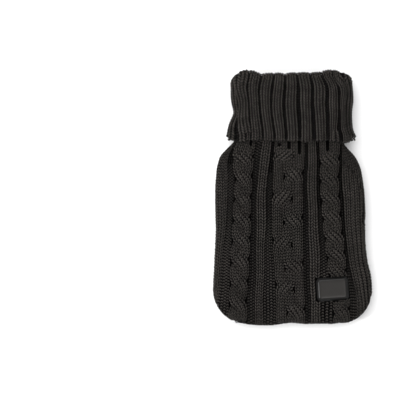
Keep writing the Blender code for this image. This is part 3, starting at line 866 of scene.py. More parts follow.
def strand_wale(index, strand, number, knit_row):
    """One wale of one strand of a rope or of the plait."""
    cable = CABLES[BANDS[index].form]
    ups = roll_ups(band_line(index, (strand + 0.5) / cable.strands), BODY_TOP, STRAND_STEPS)
    cable_paths = strand_paths(cable, ups)
    middles, halves, lifts = cable_paths
    left, right = band_line(index, 0.0)(ups), band_line(index, 1.0)(ups)
    centre = left + middles[:, strand] * (right - left)
    slant = np.minimum(np.hypot(1.0, np.gradient(centre, ups)), WIDEST_SLANT)
    half = halves[:, strand] * (right - left) * slant
    paths, lights = [], []
    for near in ACROSS:
        off = (number + 0.5 + near) / STRAND_WALES * 2 - 1
        spots = np.clip(centre + off * half, left + CABLE_RIM, right - CABLE_RIM)
        share = (spots - left) / (right - left)
        round_off = math.sqrt(1.0 - (off * STRAND_ROUND) ** 2)
        clear = ease((overlap(cable_paths, strand, spots, left, right) - TUCK_FROM) / TUCK_REACH)
        raised = (lifts[:, strand] + cable.height * round_off - TUCK_DEPTH * (1 - clear)) * cable_edge(share)
        middle, outward = lie(FRONT, BODY_EDGE, spots, ups)
        height = settle(raised, spots, ups)
        # Painted shade in the colour: darker at the strand's own edges and where it goes in under another
        # strand
        rim = 1.0 - RIM_PAINTED_SHADE * abs(off) ** RIM_POWER
        lights.append(rim * (TUCK_LIGHT + (1 - TUCK_LIGHT) * clear))
        paths.append(middle + outward * (CLOTH / 2 + height + FRONT.proud - STITCH_DEPTH)[:, None])
    return shown_part(rows_of(paths, knit_row, 1.0, 0.0, lights[1]))


def shown_part(wale):
    """A wale without its stitches under the patch and in the neck's grooves, where the near-black deep yarn,
    painted shade, shows.
    """
    across, up = wale.places[:, 0], wale.places[:, 1]
    keep = patch_distance(across, up) > PATCH_HIDES
    for groove in GROOVES:
        keep &= abs(across - groove.across) >= groove.half * ease((up - groove.start) / GROOVE_OPENS)
    return chosen(wale, keep)


def back_wale(number, knit_row):
    """One wale of the back's plain body."""
    paths = []
    for near in ACROSS:
        line = back_line((number + 0.5 + near) / BACK_WALES)
        ups = roll_ups(line, BODY_TOP, BODY_STEPS)
        middle, outward = lie(BACK, BODY_EDGE, line(ups), ups)
        paths.append(middle + outward * (CLOTH / 2 + BACK.proud - STITCH_DEPTH))
    return rows_of(paths, knit_row, -1.0)


def rib_line(number, share):
    """A line of one rib of the collar; the outermost ribs roll down at the sides."""
    left = valley_line(number - 1, 1.0) if number > 0 else even_line(0.0)
    right = valley_line(number, -1.0) if number < len(VALLEYS) else even_line(1.0)
    if number == 0:
        return rolled_line(left, right, share, FRONT.neck_rise + LAYER)
    if number == len(VALLEYS):
        return rolled_line(right, left, 1.0 - share, FRONT.neck_rise + LAYER)
    return between(left, right, share)


def mouth_to_hem(side, line):
    """One line of the collar, as far as its stitches go."""
    return turned_spots(side, line, INSIDE_MOUTH, INSIDE_STEPS, COLLAR_STEPS)


def collar_path(side, line, height):
    """One line of stitches from inside the mouth over the fold and down to the hem."""
    spots = mouth_to_hem(side, line)
    raised = COLLAR_CREST + (height - COLLAR_CREST) * spots.shown
    return spots.middle - spots.hidden * (CLOTH / 2 + raised + side.collar_proud - STITCH_DEPTH)[:, None]


def collar_wales(side, knit_row):
    """Every knit wale of one side of the collar."""
    wales = []
    for number in range(len(VALLEYS) + 1):
        for wale in range(RIB_WALES):
            shares = [(wale + 0.5 + near) / RIB_WALES for near in ACROSS]
            paths = [collar_path(side, rib_line(number, share), collar_relief(share)) for share in shares]
            wales.append(rows_of(paths, knit_row, float(-side.faces)))
    return wales


def valley_wales(side, knit_row):
    """Two purl wales down in each of the collar's valleys, one half a row up from the other."""
    wales = []
    for number in range(len(VALLEYS)):
        for aside, shift in VALLEY_PURLS:
            lines = [valley_line(number, aside + near) for near in ACROSS]
            paths = [collar_path(side, line, COLLAR_VALLEY) for line in lines]
            wales.append(rows_of(paths, knit_row, float(-side.faces), shift))
    return wales


def edge_wale(path, facing, breadth, knit_row):
    """One wale along an edge of the cloth, from its path and the way it faces."""
    across = unit(np.cross(np.gradient(path, axis=0), facing)) * breadth * NEAR
    return rows_of((path - across, path, path + across), knit_row, 1.0)


def seam_wales(knit_row):
    """The wales in which the two panels meet: round the body, and up each side of the collar."""
    keep = BODY_EDGE.points[:, 1] < BODY_TOP
    points, inward = BODY_EDGE.points[keep], BODY_EDGE.inward[keep]
    outer = points - inward * (CLOTH / 2 - STITCH_DEPTH)
    path = np.column_stack((outer, np.full(len(outer), SEAM_HEIGHT)))
    facing = np.column_stack((-inward, np.zeros(len(inward))))
    wales = [edge_wale(path, facing, SEAM_BREADTH, knit_row)]
    for share in (0.0, 1.0):
        halves = [mouth_to_hem(side, even_line(share)) for side in (FRONT, BACK)]
        middle = sum(half.middle for half in halves) / 2
        facing = -unit(sum(half.hidden for half in halves))
        wales.append(edge_wale(middle + facing * (CLOTH / 2 - STITCH_DEPTH), facing, SEAM_BREADTH, knit_row))
    return wales


def hem_wale(side):
    """The cast-off chain along the collar's hem."""
    points, faces = [], []
    for share in np.linspace(0.0, 1.0, HEM_STEPS):
        spots = mouth_to_hem(side, even_line(float(share)))
        down = unit(spots.middle[-1] - spots.middle[-2])
        drop = valley_relief(spots.across, spots.up)[-1] - COLLAR_CREST
        points.append(spots.middle[-1] - down * HEM_TUCK - spots.hidden[-1] * drop * HEM_DROP)
        faces.append(unit(down - spots.hidden[-1] * HEM_LEAN))
    return edge_wale(np.array(points), np.array(faces), HEM_BREADTH, HEM_CHAIN)


# ---------------------------------------------------------------- meshes


def placed(name, data):
    """A named object in the scene."""
    item = bpy.data.objects.new(name, data)
    bpy.context.scene.collection.objects.link(item)
    return item


def mesh_object(name, points, faces):
    """A named object in the scene from points in millimetres and faces."""
    data = bpy.data.meshes.new(name)
    data.from_pydata((np.asarray(points) * MM).tolist(), [], faces)
    data.update()
    return placed(name, data)


def ring_faces(rings, sides):
    """The faces of a closed shape made of rings with some sides, its two ends last."""
    faces = []
    last = (rings - 1) * sides
    for start in range(0, last, sides):
        for turn in range(sides):
            one, two = start + turn, start + (turn + 1) % sides
            faces.append((one, two, two + sides, one + sides))
    return [*faces, tuple(range(sides))[::-1], tuple(range(last, last + sides))]


def face_out(item):
    """Turn a closed mesh's faces outwards and shade it smooth."""
    mesh = bmesh.new()
    mesh.from_mesh(item.data)
    bmesh.ops.recalc_face_normals(mesh, faces=mesh.faces)
    mesh.to_mesh(item.data)
    mesh.free()
    item.data.shade_smooth()


def closed_sheet(name, outer, inner):
    """A closed sheet between two grids of points of the same size."""
    across, along = outer.shape[:2]
    size = across * along
    points = np.concatenate((outer.reshape(-1, 3), inner.reshape(-1, 3)))
    faces = []
    for row in range(across - 1):
        for place in range(along - 1):
            one = row * along + place
            two = one + along
            faces.append((one, two, two + 1, one + 1))
            faces.append((size + one, size + one + 1, size + two + 1, size + two))
    rim = [row * along for row in range(across)]
    rim += [(across - 1) * along + place for place in range(1, along)]
    rim += [row * along + along - 1 for row in range(across - 2, -1, -1)]
    rim += list(range(along - 2, 0, -1))
    for one, two in zip(rim, rim[1:] + rim[:1]):
        faces.append((one, size + one, size + two, two))
    item = mesh_object(name, points, faces)
    face_out(item)
    return item


def ground(name, side, lines, body_height):
    """A side's ground as one closed sheet, line by line from the bottom seam over the fold to the hem."""
    outer_rows, inner_rows = [], []
    for line, relief in lines:
        ups = roll_ups(line, GROUND_TOP, GROUND_STEPS)
        middle, outward = lie(side, BODY_EDGE, line(ups), ups)
        height = body_height(relief, line(ups), ups) + CLOTH / 2 + side.proud - GROUND_DEPTH
        height = np.maximum(height, LEAST_GROUND - CLOTH / 2)
        below = mouth_up(line) - GROUND_TOP - GROUND_BREAK
        turned = turned_spots(side, line, below, GROUND_INSIDE, GROUND_COLLAR)
        inside = np.arange(len(turned.up)) < GROUND_INSIDE
        raised = CLOTH / 2 + side.collar_proud - GROUND_DEPTH + COLLAR_CREST
        raised = raised + (valley_relief(turned.across, turned.up) - COLLAR_CREST) * turned.shown
        raised = np.maximum(raised, LEAST_GROUND - CLOTH / 2)
        shown = np.where(inside, CLOTH / 2, raised)
        covered = np.where(inside, CLOTH / 2 - GROUND_DEPTH, CLOTH / 2)
        cover = turned.middle + turned.hidden * covered[:, None]
        outer_rows.append(np.concatenate((middle + outward * height[:, None], cover)))
        cover = turned.middle - turned.hidden * shown[:, None]
        inner_rows.append(np.concatenate((middle - outward * CLOTH / 2, cover)))
    return closed_sheet(name, np.array(outer_rows), np.array(inner_rows))


def valley_relief(across, up):
    """How high the collar's ground lies at some places: down in its valleys, up under its ribs."""
    level = np.maximum(up, VALLEY_UPS[0])
    relief = np.full(len(across), COLLAR_CREST)
    for number in range(len(VALLEYS)):
        gap = abs(across - valley_line(number, 0.0)(up))
        half = smooth(level, VALLEY_UPS, VALLEY_HALVES[number])
        depth = (COLLAR_CREST - COLLAR_VALLEY) * np.minimum(half / VALLEY_FULL, 1.0)
        wall = ease((gap - half + VALLEY_INSET) / VALLEY_SLOPE)
        relief = np.minimum(relief, COLLAR_CREST - depth * (1.0 - wall))
    return relief


def front_ground():
    """The dark ground under the front's stitches."""
    lines = []
    for index, band in enumerate(BANDS):
        steps = GROUND_LINES.get(band.form, CABLE_LINES)
        last = index == len(BANDS) - 1
        for step in range(steps + (1 if last else 0)):
            share = step / steps
            line = flat_line(index, share) if band.form == "flat" else band_line(index, share)
            lines.append((line, (index, share)))

    def height(relief, across, up):
        return settle(band_relief(relief[0], relief[1], up), across, up)

    return ground("front_ground", FRONT, lines, height)


def back_ground():
    """The dark ground under the back's stitches."""
    lines = [(back_line(float(share)), None) for share in np.linspace(0.0, 1.0, BACK_LINES)]
    return ground("back_ground", BACK, lines, lambda relief, across, up: np.zeros(len(up)))


# ---------------------------------------------------------------- yarn: the shapes that repeat


def yarn_tube(path, radii, sides):
    """A closed yarn along a path: its corners, its faces and its map, around and along."""
    path, radii = np.array(path, float), np.array(radii, float)
    along = unit(np.gradient(path, axis=0))
    beside = unit(np.cross(along, (0.0, 0.0, 1.0)))
    above = np.cross(beside, along)
    turns = np.linspace(0.0, 2 * math.pi, sides, endpoint=False)
    rings = []
    for step in range(len(path)):
        around = np.cos(turns)[:, None] * beside[step] + np.sin(turns)[:, None] * above[step]
        rings.append(path[step] + radii[step] * around)
    steps = len(path) - 1
    maps = []
    for ring in range(steps):
        for turn in range(sides):
            low, high = ring / steps, (ring + 1) / steps
            near, far = turn / sides, (turn + 1) / sides
            maps.append([(near, low), (far, low), (far, high), (near, high)])
    maps += [[(0.0, end)] * sides for end in (0.0, 1.0)]
    return np.concatenate(rings), ring_faces(len(path), sides), maps


def yarn_shape(name, tubes):
    """A hidden object of one or more yarns, to be set out many times."""
    points, faces, maps = [], [], []
    for tube_points, tube_faces, tube_maps in tubes:
        base = sum(len(part) for part in points)
        points.append(tube_points)
        faces += [tuple(base + place for place in face) for face in tube_faces]
        maps += tube_maps
    item = mesh_object(name, np.concatenate(points), faces)
    layer = item.data.uv_layers.new(name="yarn")
    layer.data.foreach_set("uv", np.array([place for face in maps for place in face]).ravel())
    face_out(item)
    item.hide_render = True
    return item


WALE_WIDTH, ROW_HEIGHT = 3.75, 2.36  # the knit stitch as drawn
PURL_WIDTH, PURL_ROW = 2.4, 2.36  # the purl stitch as drawn
PURL_SIDES = 6
# The right leg of a knit stitch and the head of a purl stitch, as points across, up and out
KNIT_LEG = (
    (0.22, -0.6, -1.1), (0.44, -0.02, -0.35), (0.8, 0.62, 0.04), (1.16, 1.26, 0.02), (1.44, 1.86, -0.4),
    (1.54, 2.34, -1.2),
)
KNIT_RADII = (0.26, 0.44, 0.64, 0.62, 0.43, 0.24)
PURL_HEAD = (
    (-1.0, -0.95, -0.7), (-0.72, -0.25, -0.1), (0.0, 0.4, 0.18), (0.72, -0.25, -0.1), (1.0, -0.95, -0.7),
)
PURL_RADII = (0.32, 0.55, 0.66, 0.55, 0.32)
# The darkest and lightest stitches of each kind; the collar's valley stitches are near-black, painted shade
KNIT_TONES, PURL_TONES, VALLEY_PAINTED_SHADE_TONES = (0.62, 1.0), (0.82, 1.0), (0.03, 0.2)


def mirrored(path):
    """A path turned over from left to right, with its order kept."""
    return [(-across, up, out) for across, up, out in path]


def knit_stitch(sides):
    """One knit stitch: two legs that spread upwards from under the stitch below."""
    shift = [(across, up - ROW_HEIGHT / 2, out) for across, up, out in KNIT_LEG]
    legs = [yarn_tube(shift, KNIT_RADII, sides), yarn_tube(mirrored(shift), KNIT_RADII, sides)]
    return yarn_shape("knit_stitch", legs)


def purl_stitch():
    """One purl stitch: the head of its loop, as an arch of yarn."""
    return yarn_shape("purl_stitch", [yarn_tube(PURL_HEAD, PURL_RADII, PURL_SIDES)])


# ---------------------------------------------------------------- stitches set out by nodes


def feed(tree, node, given):
    """Set a node's inputs, each to a socket that is joined to it or to a plain value."""
    for place, value in given.items():
        if isinstance(value, bpy.types.NodeSocket):
            tree.links.new(value, node.inputs[place])
        else:
            node.inputs[place].default_value = value


def add_node(tree, kind, given, **settings):
    """A new node with its settings and its inputs."""
    node = tree.nodes.new(kind)
    for key, value in settings.items():
        setattr(node, key, value)
    feed(tree, node, given)
    return node


STITCH_INPUTS = {
    "Geometry": ("Wales",),
    "Object": ("Stitch",),
    "Material": ("Yarn",),
    "Float": ("Width as drawn", "Row as drawn", "Fullness", "Unevenness", "Darkest", "Lightest"),
    "Int": ("Seed",),
}


def stitch_nodes():
    """Nodes that set a stitch on every point of the wales, turned along its wale, and join them."""
    tree = bpy.data.node_groups.new("Set out stitches", "GeometryNodeTree")
    for kind, names in STITCH_INPUTS.items():
        for name in names:
            tree.interface.new_socket(name, in_out="INPUT", socket_type="NodeSocket" + kind)
    tree.interface.new_socket("Stitches", in_out="OUTPUT", socket_type="NodeSocketGeometry")
    given = add_node(tree, "NodeGroupInput", {}).outputs
    uneven = given["Unevenness"]

    def attribute(name, kind):
        node = add_node(tree, "GeometryNodeInputNamedAttribute", {"Name": name}, data_type=kind)
        return node.outputs["Attribute"]

    def maths(operation, *values):
        return add_node(tree, "ShaderNodeMath", dict(enumerate(values)), operation=operation).outputs[0]

    def vector(*axes):
        return add_node(tree, "ShaderNodeCombineXYZ", dict(enumerate(axes))).outputs[0]

    def chance(least, most, draw, kind="FLOAT"):
        """A random value for each stitch; each draw has a seed of its own."""
        first, result = (0, 0) if kind == "FLOAT_VECTOR" else (2, 1)
        ends = {first: least, first + 1: most, "Seed": maths("ADD", given["Seed"], draw)}
        return add_node(tree, "FunctionNodeRandomValue", ends, data_type=kind).outputs[result]

    back = maths("MULTIPLY", uneven, -1.0)
    jitter = chance(vector(back, back, back), vector(uneven, uneven, uneven), 0, "FLOAT_VECTOR")
    outward, along = attribute("outward", "FLOAT_VECTOR"), attribute("along", "FLOAT_VECTOR")
    lean = add_node(tree, "ShaderNodeVectorMath", {0: outward, 1: jitter}, operation="ADD")
    axes = {"Primary Axis": lean.outputs[0], "Secondary Axis": along}
    turn = add_node(tree, "FunctionNodeAxesToRotation", axes, primary_axis="Z", secondary_axis="Y")
    length = add_node(tree, "ShaderNodeVectorMath", {0: along}, operation="LENGTH")
    swell = chance(maths("SUBTRACT", 1.0, uneven), maths("ADD", 1.0, uneven), 1)
    breadth = maths("DIVIDE", attribute("breadth", "FLOAT"), given["Width as drawn"])
    size = vector(
        maths("MULTIPLY", breadth, swell),
        maths("DIVIDE", length.outputs["Value"], given["Row as drawn"]),
        maths("MULTIPLY", given["Fullness"], swell),
    )
    shape = add_node(tree, "GeometryNodeObjectInfo", {"Object": given["Stitch"]}).outputs["Geometry"]
    spots = {"Points": given["Wales"], "Instance": shape, "Rotation": turn.outputs[0], "Scale": size}
    place = add_node(tree, "GeometryNodeInstanceOnPoints", spots)
    # Each stitch's darkness: a random draw times the painted shade in its wales' light attribute
    tone = maths("MULTIPLY", chance(given["Darkest"], given["Lightest"], 2), attribute("light", "FLOAT"))
    tones = {"Name": "tone", "Geometry": place.outputs["Instances"], "Value": tone}
    keep = add_node(tree, "GeometryNodeStoreNamedAttribute", tones, data_type="FLOAT", domain="INSTANCE")
    whole = add_node(tree, "GeometryNodeRealizeInstances", {"Geometry": keep.outputs["Geometry"]})
    yarned = {"Geometry": whole.outputs["Geometry"], "Material": given["Yarn"]}
    finish = add_node(tree, "GeometryNodeSetMaterial", yarned)
    add_node(tree, "NodeGroupOutput", {"Stitches": finish.outputs["Geometry"]})
    return tree


def set_out(name, wales, shape, finish, knit, drawn, tones):
    """One piece of stitches: a shape set on every point of some wales by the stitch nodes."""
    tree = bpy.data.node_groups.get("Set out stitches") or stitch_nodes()
    whole = Wale(*(np.concatenate(parts) for parts in zip(*wales)))
    carrier = mesh_object(name + "_wales", whole.places, [])
    carried = {
        "along": whole.along * MM,
        "outward": whole.outward,
        "breadth": whole.breadth * MM,
        "light": whole.light,
    }
    for key, values in carried.items():
        vectors = values.ndim == 2
        layer = carrier.data.attributes.new(key, "FLOAT_VECTOR" if vectors else "FLOAT", "POINT")
        layer.data.foreach_set("vector" if vectors else "value", values.ravel())
    modifier = carrier.modifiers.new("Stitches", "NODES")
    modifier.node_group = tree
    inputs = {
        "Stitch": shape,
        "Yarn": finish,
        "Width as drawn": drawn[0] * MM,
        "Row as drawn": drawn[1] * MM,
        "Fullness": knit.fullness,
        "Unevenness": knit.unevenness,
        "Darkest": tones[0],
        "Lightest": tones[1],
        "Seed": knit.seed,
    }
    for socket in tree.interface.items_tree:
        if socket.name in inputs:
            modifier[socket.identifier] = inputs[socket.name]
    graph = bpy.context.evaluated_depsgraph_get()
    made_up = carrier.evaluated_get(graph)
    data = bpy.data.meshes.new_from_object(made_up, preserve_all_data_layers=True, depsgraph=graph)
    data.name = name
    for key in carried:
        if key in data.attributes:
            data.attributes.remove(data.attributes[key])
    bpy.data.objects.remove(carrier, do_unlink=True)
    data.shade_smooth()
    return placed(name, data)


# ---------------------------------------------------------------- finishes


def new_material(name):
    """A material, its nodes and its object coordinates."""
    finish = bpy.data.materials.new(name)
    finish.use_nodes = True
    tree = finish.node_tree
    return finish, tree, add_node(tree, "ShaderNodeTexCoord", {}).outputs["Object"]


def noise(tree, vector, scale, detail, rough=0.5):
    """A noise of one scale on some coordinates."""
    given = {"Scale": scale, "Detail": detail, "Roughness": rough, "Vector": vector}
    return add_node(tree, "ShaderNodeTexNoise", given).outputs["Fac"]


def ramp(tree, value, *stops):
    """Colours or greys along a value."""
    node = add_node(tree, "ShaderNodeValToRGB", {"Fac": value})
    bar = node.color_ramp.elements
    while len(bar) < len(stops):
        bar.new(0.5)
    for stop, (place, colour) in zip(bar, stops):
        stop.position = place
        stop.color = (*(colour if isinstance(colour, tuple) else (colour,) * 3), 1.0)
    return node.outputs["Color"]


def times(tree, first, second):
    """Two colours multiplied."""
    given = {0: 1.0, 6: first, 7: second}
    return add_node(tree, "ShaderNodeMix", given, data_type="RGBA", blend_type="MULTIPLY").outputs[2]


def bump(tree, height, strength, distance, under=None):
    """A bump from a height, on top of another one if given."""
    given = {"Strength": strength, "Distance": distance, "Height": height}
    if under is not None:
        given["Normal"] = under
    return add_node(tree, "ShaderNodeBump", given).outputs["Normal"]


def tone_and_painted_shade_of(tree):
    """What each stitch carries, a random darkness times its painted shade, and what each ring of the patch
    carries, its painted shade.
    """
    return add_node(tree, "ShaderNodeAttribute", {}, attribute_name="tone").outputs["Fac"]


def shade(colour, factor):
    """A colour made lighter or darker."""
    return tuple(min(channel * factor, 1.0) for channel in colour)


PLY_TWIST = (2.0, 2.6, 0.0)  # how often the plies wind round and along a stitch's yarn
# Painted shade on each yarn: dark down its sides and underneath, light on top, and dark along it where it
# goes in under the next stitch
PAINTED_SHADE_ROUND = ((0.0, 0.07), (0.25, 1.0), (0.5, 0.07), (0.75, 0.05))
PAINTED_SHADE_ALONG = ((0.08, 0.03), (0.44, 1.0), (0.64, 1.0), (0.92, 0.03))


def yarn_material(name, colour):
    """Matt wool-like yarn: twisted plies, loose fibres, stitches that differ a little at random in how dark
    they are, and painted shade by each stitch's depth, round each yarn and along it.
    """
    finish, tree, place = new_material(name)
    spread = noise(tree, place, scale=38.0, detail=4.0, rough=0.6)
    base = ramp(tree, spread, (0.28, shade(colour, 1.15)), (0.72, shade(colour, 1.6)))
    # Each stitch's random darkness times its painted shade
    base = times(tree, base, ramp(tree, tone_and_painted_shade_of(tree), (0.0, 0.03), (1.0, (1.0, 0.99, 0.98))))
    lie_of = add_node(tree, "ShaderNodeUVMap", {}, uv_map="yarn").outputs["UV"]
    parts = add_node(tree, "ShaderNodeSeparateXYZ", {0: lie_of}).outputs
    # Painted shade round each yarn, light on top, and along it, dark where it goes in under the next stitch
    base = times(tree, base, ramp(tree, parts["X"], *PAINTED_SHADE_ROUND))
    base = times(tree, base, ramp(tree, parts["Y"], *PAINTED_SHADE_ALONG))
    twist = add_node(tree, "ShaderNodeVectorMath", {0: lie_of, 1: PLY_TWIST}, operation="DOT_PRODUCT")
    given = {0: twist.outputs["Value"], 1: 2 * math.pi}
    turns = add_node(tree, "ShaderNodeMath", given, operation="MULTIPLY")
    plies = add_node(tree, "ShaderNodeMath", {0: turns.outputs[0]}, operation="SINE")
    normal = bump(tree, plies.outputs[0], strength=0.55, distance=0.12 * MM)
    fibres = noise(tree, place, scale=2600.0, detail=2.0, rough=0.7)
    normal = bump(tree, fibres, strength=0.7, distance=0.15 * MM, under=normal)
    feed(tree, tree.nodes["Principled BSDF"], {
        "Base Color": base,
        "Normal": normal,
        "Roughness": 0.92,
        "Sheen Weight": 0.03,
        "Sheen Roughness": 0.5,
        "Specular IOR Level": 0.06,
    })
    return finish


def painted_shade_ground_material(name, colour):
    """The yarn deep between the stitches, coloured near-black as painted shade."""
    finish, tree, place = new_material(name)
    spread = noise(tree, place, scale=420.0, detail=4.0, rough=0.6)
    fibres = noise(tree, place, scale=1900.0, detail=3.0, rough=0.7)
    # Near-black: painted shade between the stitches
    feed(tree, tree.nodes["Principled BSDF"], {
        "Base Color": ramp(tree, spread, (0.3, shade(colour, 0.02)), (0.75, shade(colour, 0.08))),
        "Normal": bump(tree, fibres, strength=0.8, distance=0.3 * MM),
        "Roughness": 0.95,
        "Specular IOR Level": 0.03,
    })
    return finish


def patch_material(name, colour):
    """Soft dark satin with a fine grain, with painted shade on its raised border and darkest on its sewn
    margin, which is partly painted shadow.
    """
    finish, tree, place = new_material(name)
    spread = noise(tree, place, scale=90.0, detail=4.0, rough=0.55)
    base = ramp(tree, spread, (0.3, shade(colour, 0.92)), (0.7, shade(colour, 1.08)))
    grain = add_node(tree, "ShaderNodeTexVoronoi", {"Scale": 1900.0, "Vector": place})
    normal = bump(tree, grain.outputs["Distance"], strength=0.25, distance=0.08 * MM)
    slack = noise(tree, place, scale=160.0, detail=2.0)
    gloss = noise(tree, place, scale=240.0, detail=3.0)
    feed(tree, tree.nodes["Principled BSDF"], {
        # The rings' painted shade: darker on the border, near-black on the margin, which is partly painted
        # shadow
        "Base Color": times(tree, base, ramp(tree, tone_and_painted_shade_of(tree), (0.1, 0.08), (1.0, 1.0))),
        "Normal": bump(tree, slack, strength=0.04, distance=0.1 * MM, under=normal),
        "Roughness": ramp(tree, gloss, (0.3, 0.3), (0.7, 0.34)),
        "Sheen Weight": 0.03,
        "Specular IOR Level": 0.18,
    })
    return finish


def floor_material(name, colour):
    """A plain pale surface."""
    finish, tree, place = new_material(name)
    spread = noise(tree, place, scale=3.0, detail=2.0)
    feed(tree, tree.nodes["Principled BSDF"], {
        "Base Color": ramp(tree, spread, (0.0, shade(colour, 0.995)), (1.0, shade(colour, 1.0))),
        "Roughness": 0.9,
        "Specular IOR Level": 0.1,
    })
    return finish


def made(name, maker, colour):
    """A material, made the first time it is asked for."""
    return bpy.data.materials.get(name) or maker(name, colour)


# ---------------------------------------------------------------- what a user can change


class KnitLook(PropertyGroup):
    """The knit of both panels."""

    body_row: FloatProperty(
        name="Body row", description="Height of a row on the body",
        default=2.36 * MM, subtype="DISTANCE", unit="LENGTH",
    )
    collar_row: FloatProperty(
        name="Collar row", description="Height of a row on the collar",
        default=2.12 * MM, subtype="DISTANCE", unit="LENGTH",
    )
    fullness: FloatProperty(
        name="Fullness", description="How round the yarn is", default=1.0, min=0.5, max=1.5,
    )
    unevenness: FloatProperty(
        name="Unevenness", description="How much the stitches differ", default=0.07, min=0.0, max=0.3,
    )
    seed: IntProperty(name="Seed", description="Which uneven knit it is", default=7)
    colour: FloatVectorProperty(
        name="Yarn colour", description="Warm charcoal yarn",
        default=(0.037, 0.0336, 0.0304), subtype="COLOR", min=0.0, max=1.0,
    )


class PatchLook(PropertyGroup):
    """The patch sewn on at the lower right."""

    thickness: FloatProperty(
        name="Thickness", description="Height of the padded border",
        default=1.5 * MM, subtype="DISTANCE", unit="LENGTH",
    )
    border: FloatProperty(
        name="Border", description="Width of the raised border",
        default=1.8 * MM, subtype="DISTANCE", unit="LENGTH",
    )
    colour: FloatVectorProperty(
        name="Patch colour", description="Dark satin",
        default=(0.0168, 0.0154, 0.0143), subtype="COLOR", min=0.0, max=1.0,
    )


class StageLook(PropertyGroup):
    """The floor, the light and the camera."""

    floor: FloatVectorProperty(
        name="Floor colour", description="Plain pale floor",
        default=(0.83, 0.83, 0.83), subtype="COLOR", min=0.0, max=1.0,
    )
    light: FloatProperty(
        name="Light", description="Strength of the soft light from above", default=28.0, min=0.0,
    )
    sky: FloatProperty(
        name="Sky", description="Strength of the even light from all round", default=1.0, min=0.0,
    )
    height: FloatProperty(
        name="Camera height", description="Height of the camera over the surface",
        default=1.5, subtype="DISTANCE", unit="LENGTH",
    )


# ---------------------------------------------------------------- operators


def finish_piece(item, finish, node=None):
    """Give a piece its material and its place on the frame, and hide the imported part that it stands for.
    """
    if finish is not None:
        item.data.materials.clear()
        item.data.materials.append(finish)
    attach(item, "root")
    if node is not None:
        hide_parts(node)
    return item


class COVER_OT_grounds(Operator):
    """Make the two sheets of ground knit that carry the stitches, near-black as painted shade"""

    bl_idname = "cover.grounds"
    bl_label = "Grounds"

    def execute(self, context):
        knit = context.scene.cover_knit
        finish = made("deep_yarn", painted_shade_ground_material, knit.colour)
        finish_piece(front_ground(), finish, "front_panel")
        finish_piece(back_ground(), finish, "back_panel")
        return {"FINISHED"}


def knit_up(context, stitch, pieces, drawn=(WALE_WIDTH, ROW_HEIGHT)):
    """Set out one stitch in some pieces, each given by its name, its wales and its tones."""
    knit = context.scene.cover_knit
    yarn = made("charcoal_yarn", yarn_material, knit.colour)
    for name, wales, tones in pieces:
        finish_piece(set_out(name, wales, stitch, yarn, knit, drawn, tones), None)
    bpy.data.objects.remove(stitch, do_unlink=True)


def purl_up(context, name, wales, tones):
    """Set out one piece of purl stitches."""
    knit_up(context, purl_stitch(), [(name, wales, tones)], (PURL_WIDTH, PURL_ROW))


class COVER_OT_front_body(Operator):
    """Knit the front's body: flat bands, ribs, ropes and the plait"""

    bl_idname = "cover.front_body"
    bl_label = "Front body"

    def execute(self, context):
        row = context.scene.cover_knit.body_row / MM
        plain, roped, plaited, purled = [], [], [], []
        for index, band in enumerate(BANDS):
            shares = [(number + 0.5) / band.wales for number in range(band.wales)]
            if band.form in CABLES:
                cable = plaited if band.form == "plait" else roped
                for strand in range(CABLES[band.form].strands):
                    cable.extend(strand_wale(index, strand, number, row) for number in range(STRAND_WALES))
            elif band.form == "purl":
                # every other purl wale stands half a row up, and only those go on into a narrow valley
                for number, share in enumerate(shares):
                    least = 0.0 if number % 2 else PURL_ROOM
                    purled.append(front_wale(index, share, row, number % 2 / 2, least))
            else:
                plain.extend(front_wale(index, share, row) for share in shares)
        parts = (("front_plain", plain), ("front_ropes", roped), ("front_plait", plaited))
        knit_up(context, knit_stitch(FRONT_SIDES), [(*part, KNIT_TONES) for part in parts])
        purl_up(context, "front_purls", purled, PURL_TONES)
        return {"FINISHED"}


class COVER_OT_collar(Operator):
    """Knit the collar's ribs and valleys, front and back, over the fold at the mouth"""

    bl_idname = "cover.collar"
    bl_label = "Collar"

    def execute(self, context):
        row = context.scene.cover_knit.collar_row / MM
        for side, sides in ((FRONT, FRONT_SIDES), (BACK, BACK_COLLAR_SIDES)):
            ribs = (side.name + "_collar_ribs", collar_wales(side, row), KNIT_TONES)
            knit_up(context, knit_stitch(sides), [ribs])
            purl_up(context, side.name + "_collar_purls", valley_wales(side, row), VALLEY_PAINTED_SHADE_TONES)
        return {"FINISHED"}


class COVER_OT_back_body(Operator):
    """Knit the back's plain body"""

    bl_idname = "cover.back_body"
    bl_label = "Back body"

    def execute(self, context):
        row = context.scene.cover_knit.body_row / MM
        wales = [back_wale(number, row) for number in range(BACK_WALES)]
        half = BACK_WALES // 2
        parts = (("back_left", wales[:half], KNIT_TONES), ("back_right", wales[half:], KNIT_TONES))
        knit_up(context, knit_stitch(BACK_BODY_SIDES), parts)
        return {"FINISHED"}


class COVER_OT_edges(Operator):
    """Knit the wales that join the panels at their sides, and the cast-off chains at the hems"""

    bl_idname = "cover.edges"
    bl_label = "Seams and hems"

    def execute(self, context):
        row = context.scene.cover_knit.body_row / MM
        knit_up(context, knit_stitch(EDGE_SIDES), (
            ("side_seams", seam_wales(row), KNIT_TONES),
            ("front_hem", [hem_wale(FRONT)], HEM_TONES),
            ("back_hem", [hem_wale(BACK)], HEM_TONES),
        ))
        return {"FINISHED"}


def rounded_ring(width, length, radius):
    """The points of a rectangle with round corners, round its middle."""
    radius = max(radius, LEAST_CORNER)
    ring = []
    for quarter, (x, y) in enumerate(((1, 1), (-1, 1), (-1, -1), (1, -1))):
        for step in range(RING_STEPS + 1):
            turn = math.pi / 2 * (quarter + step / RING_STEPS)
            across = x * (width / 2 - radius) + radius * math.cos(turn)
            ring.append((across, y * (length / 2 - radius) + radius * math.sin(turn)))
    return ring


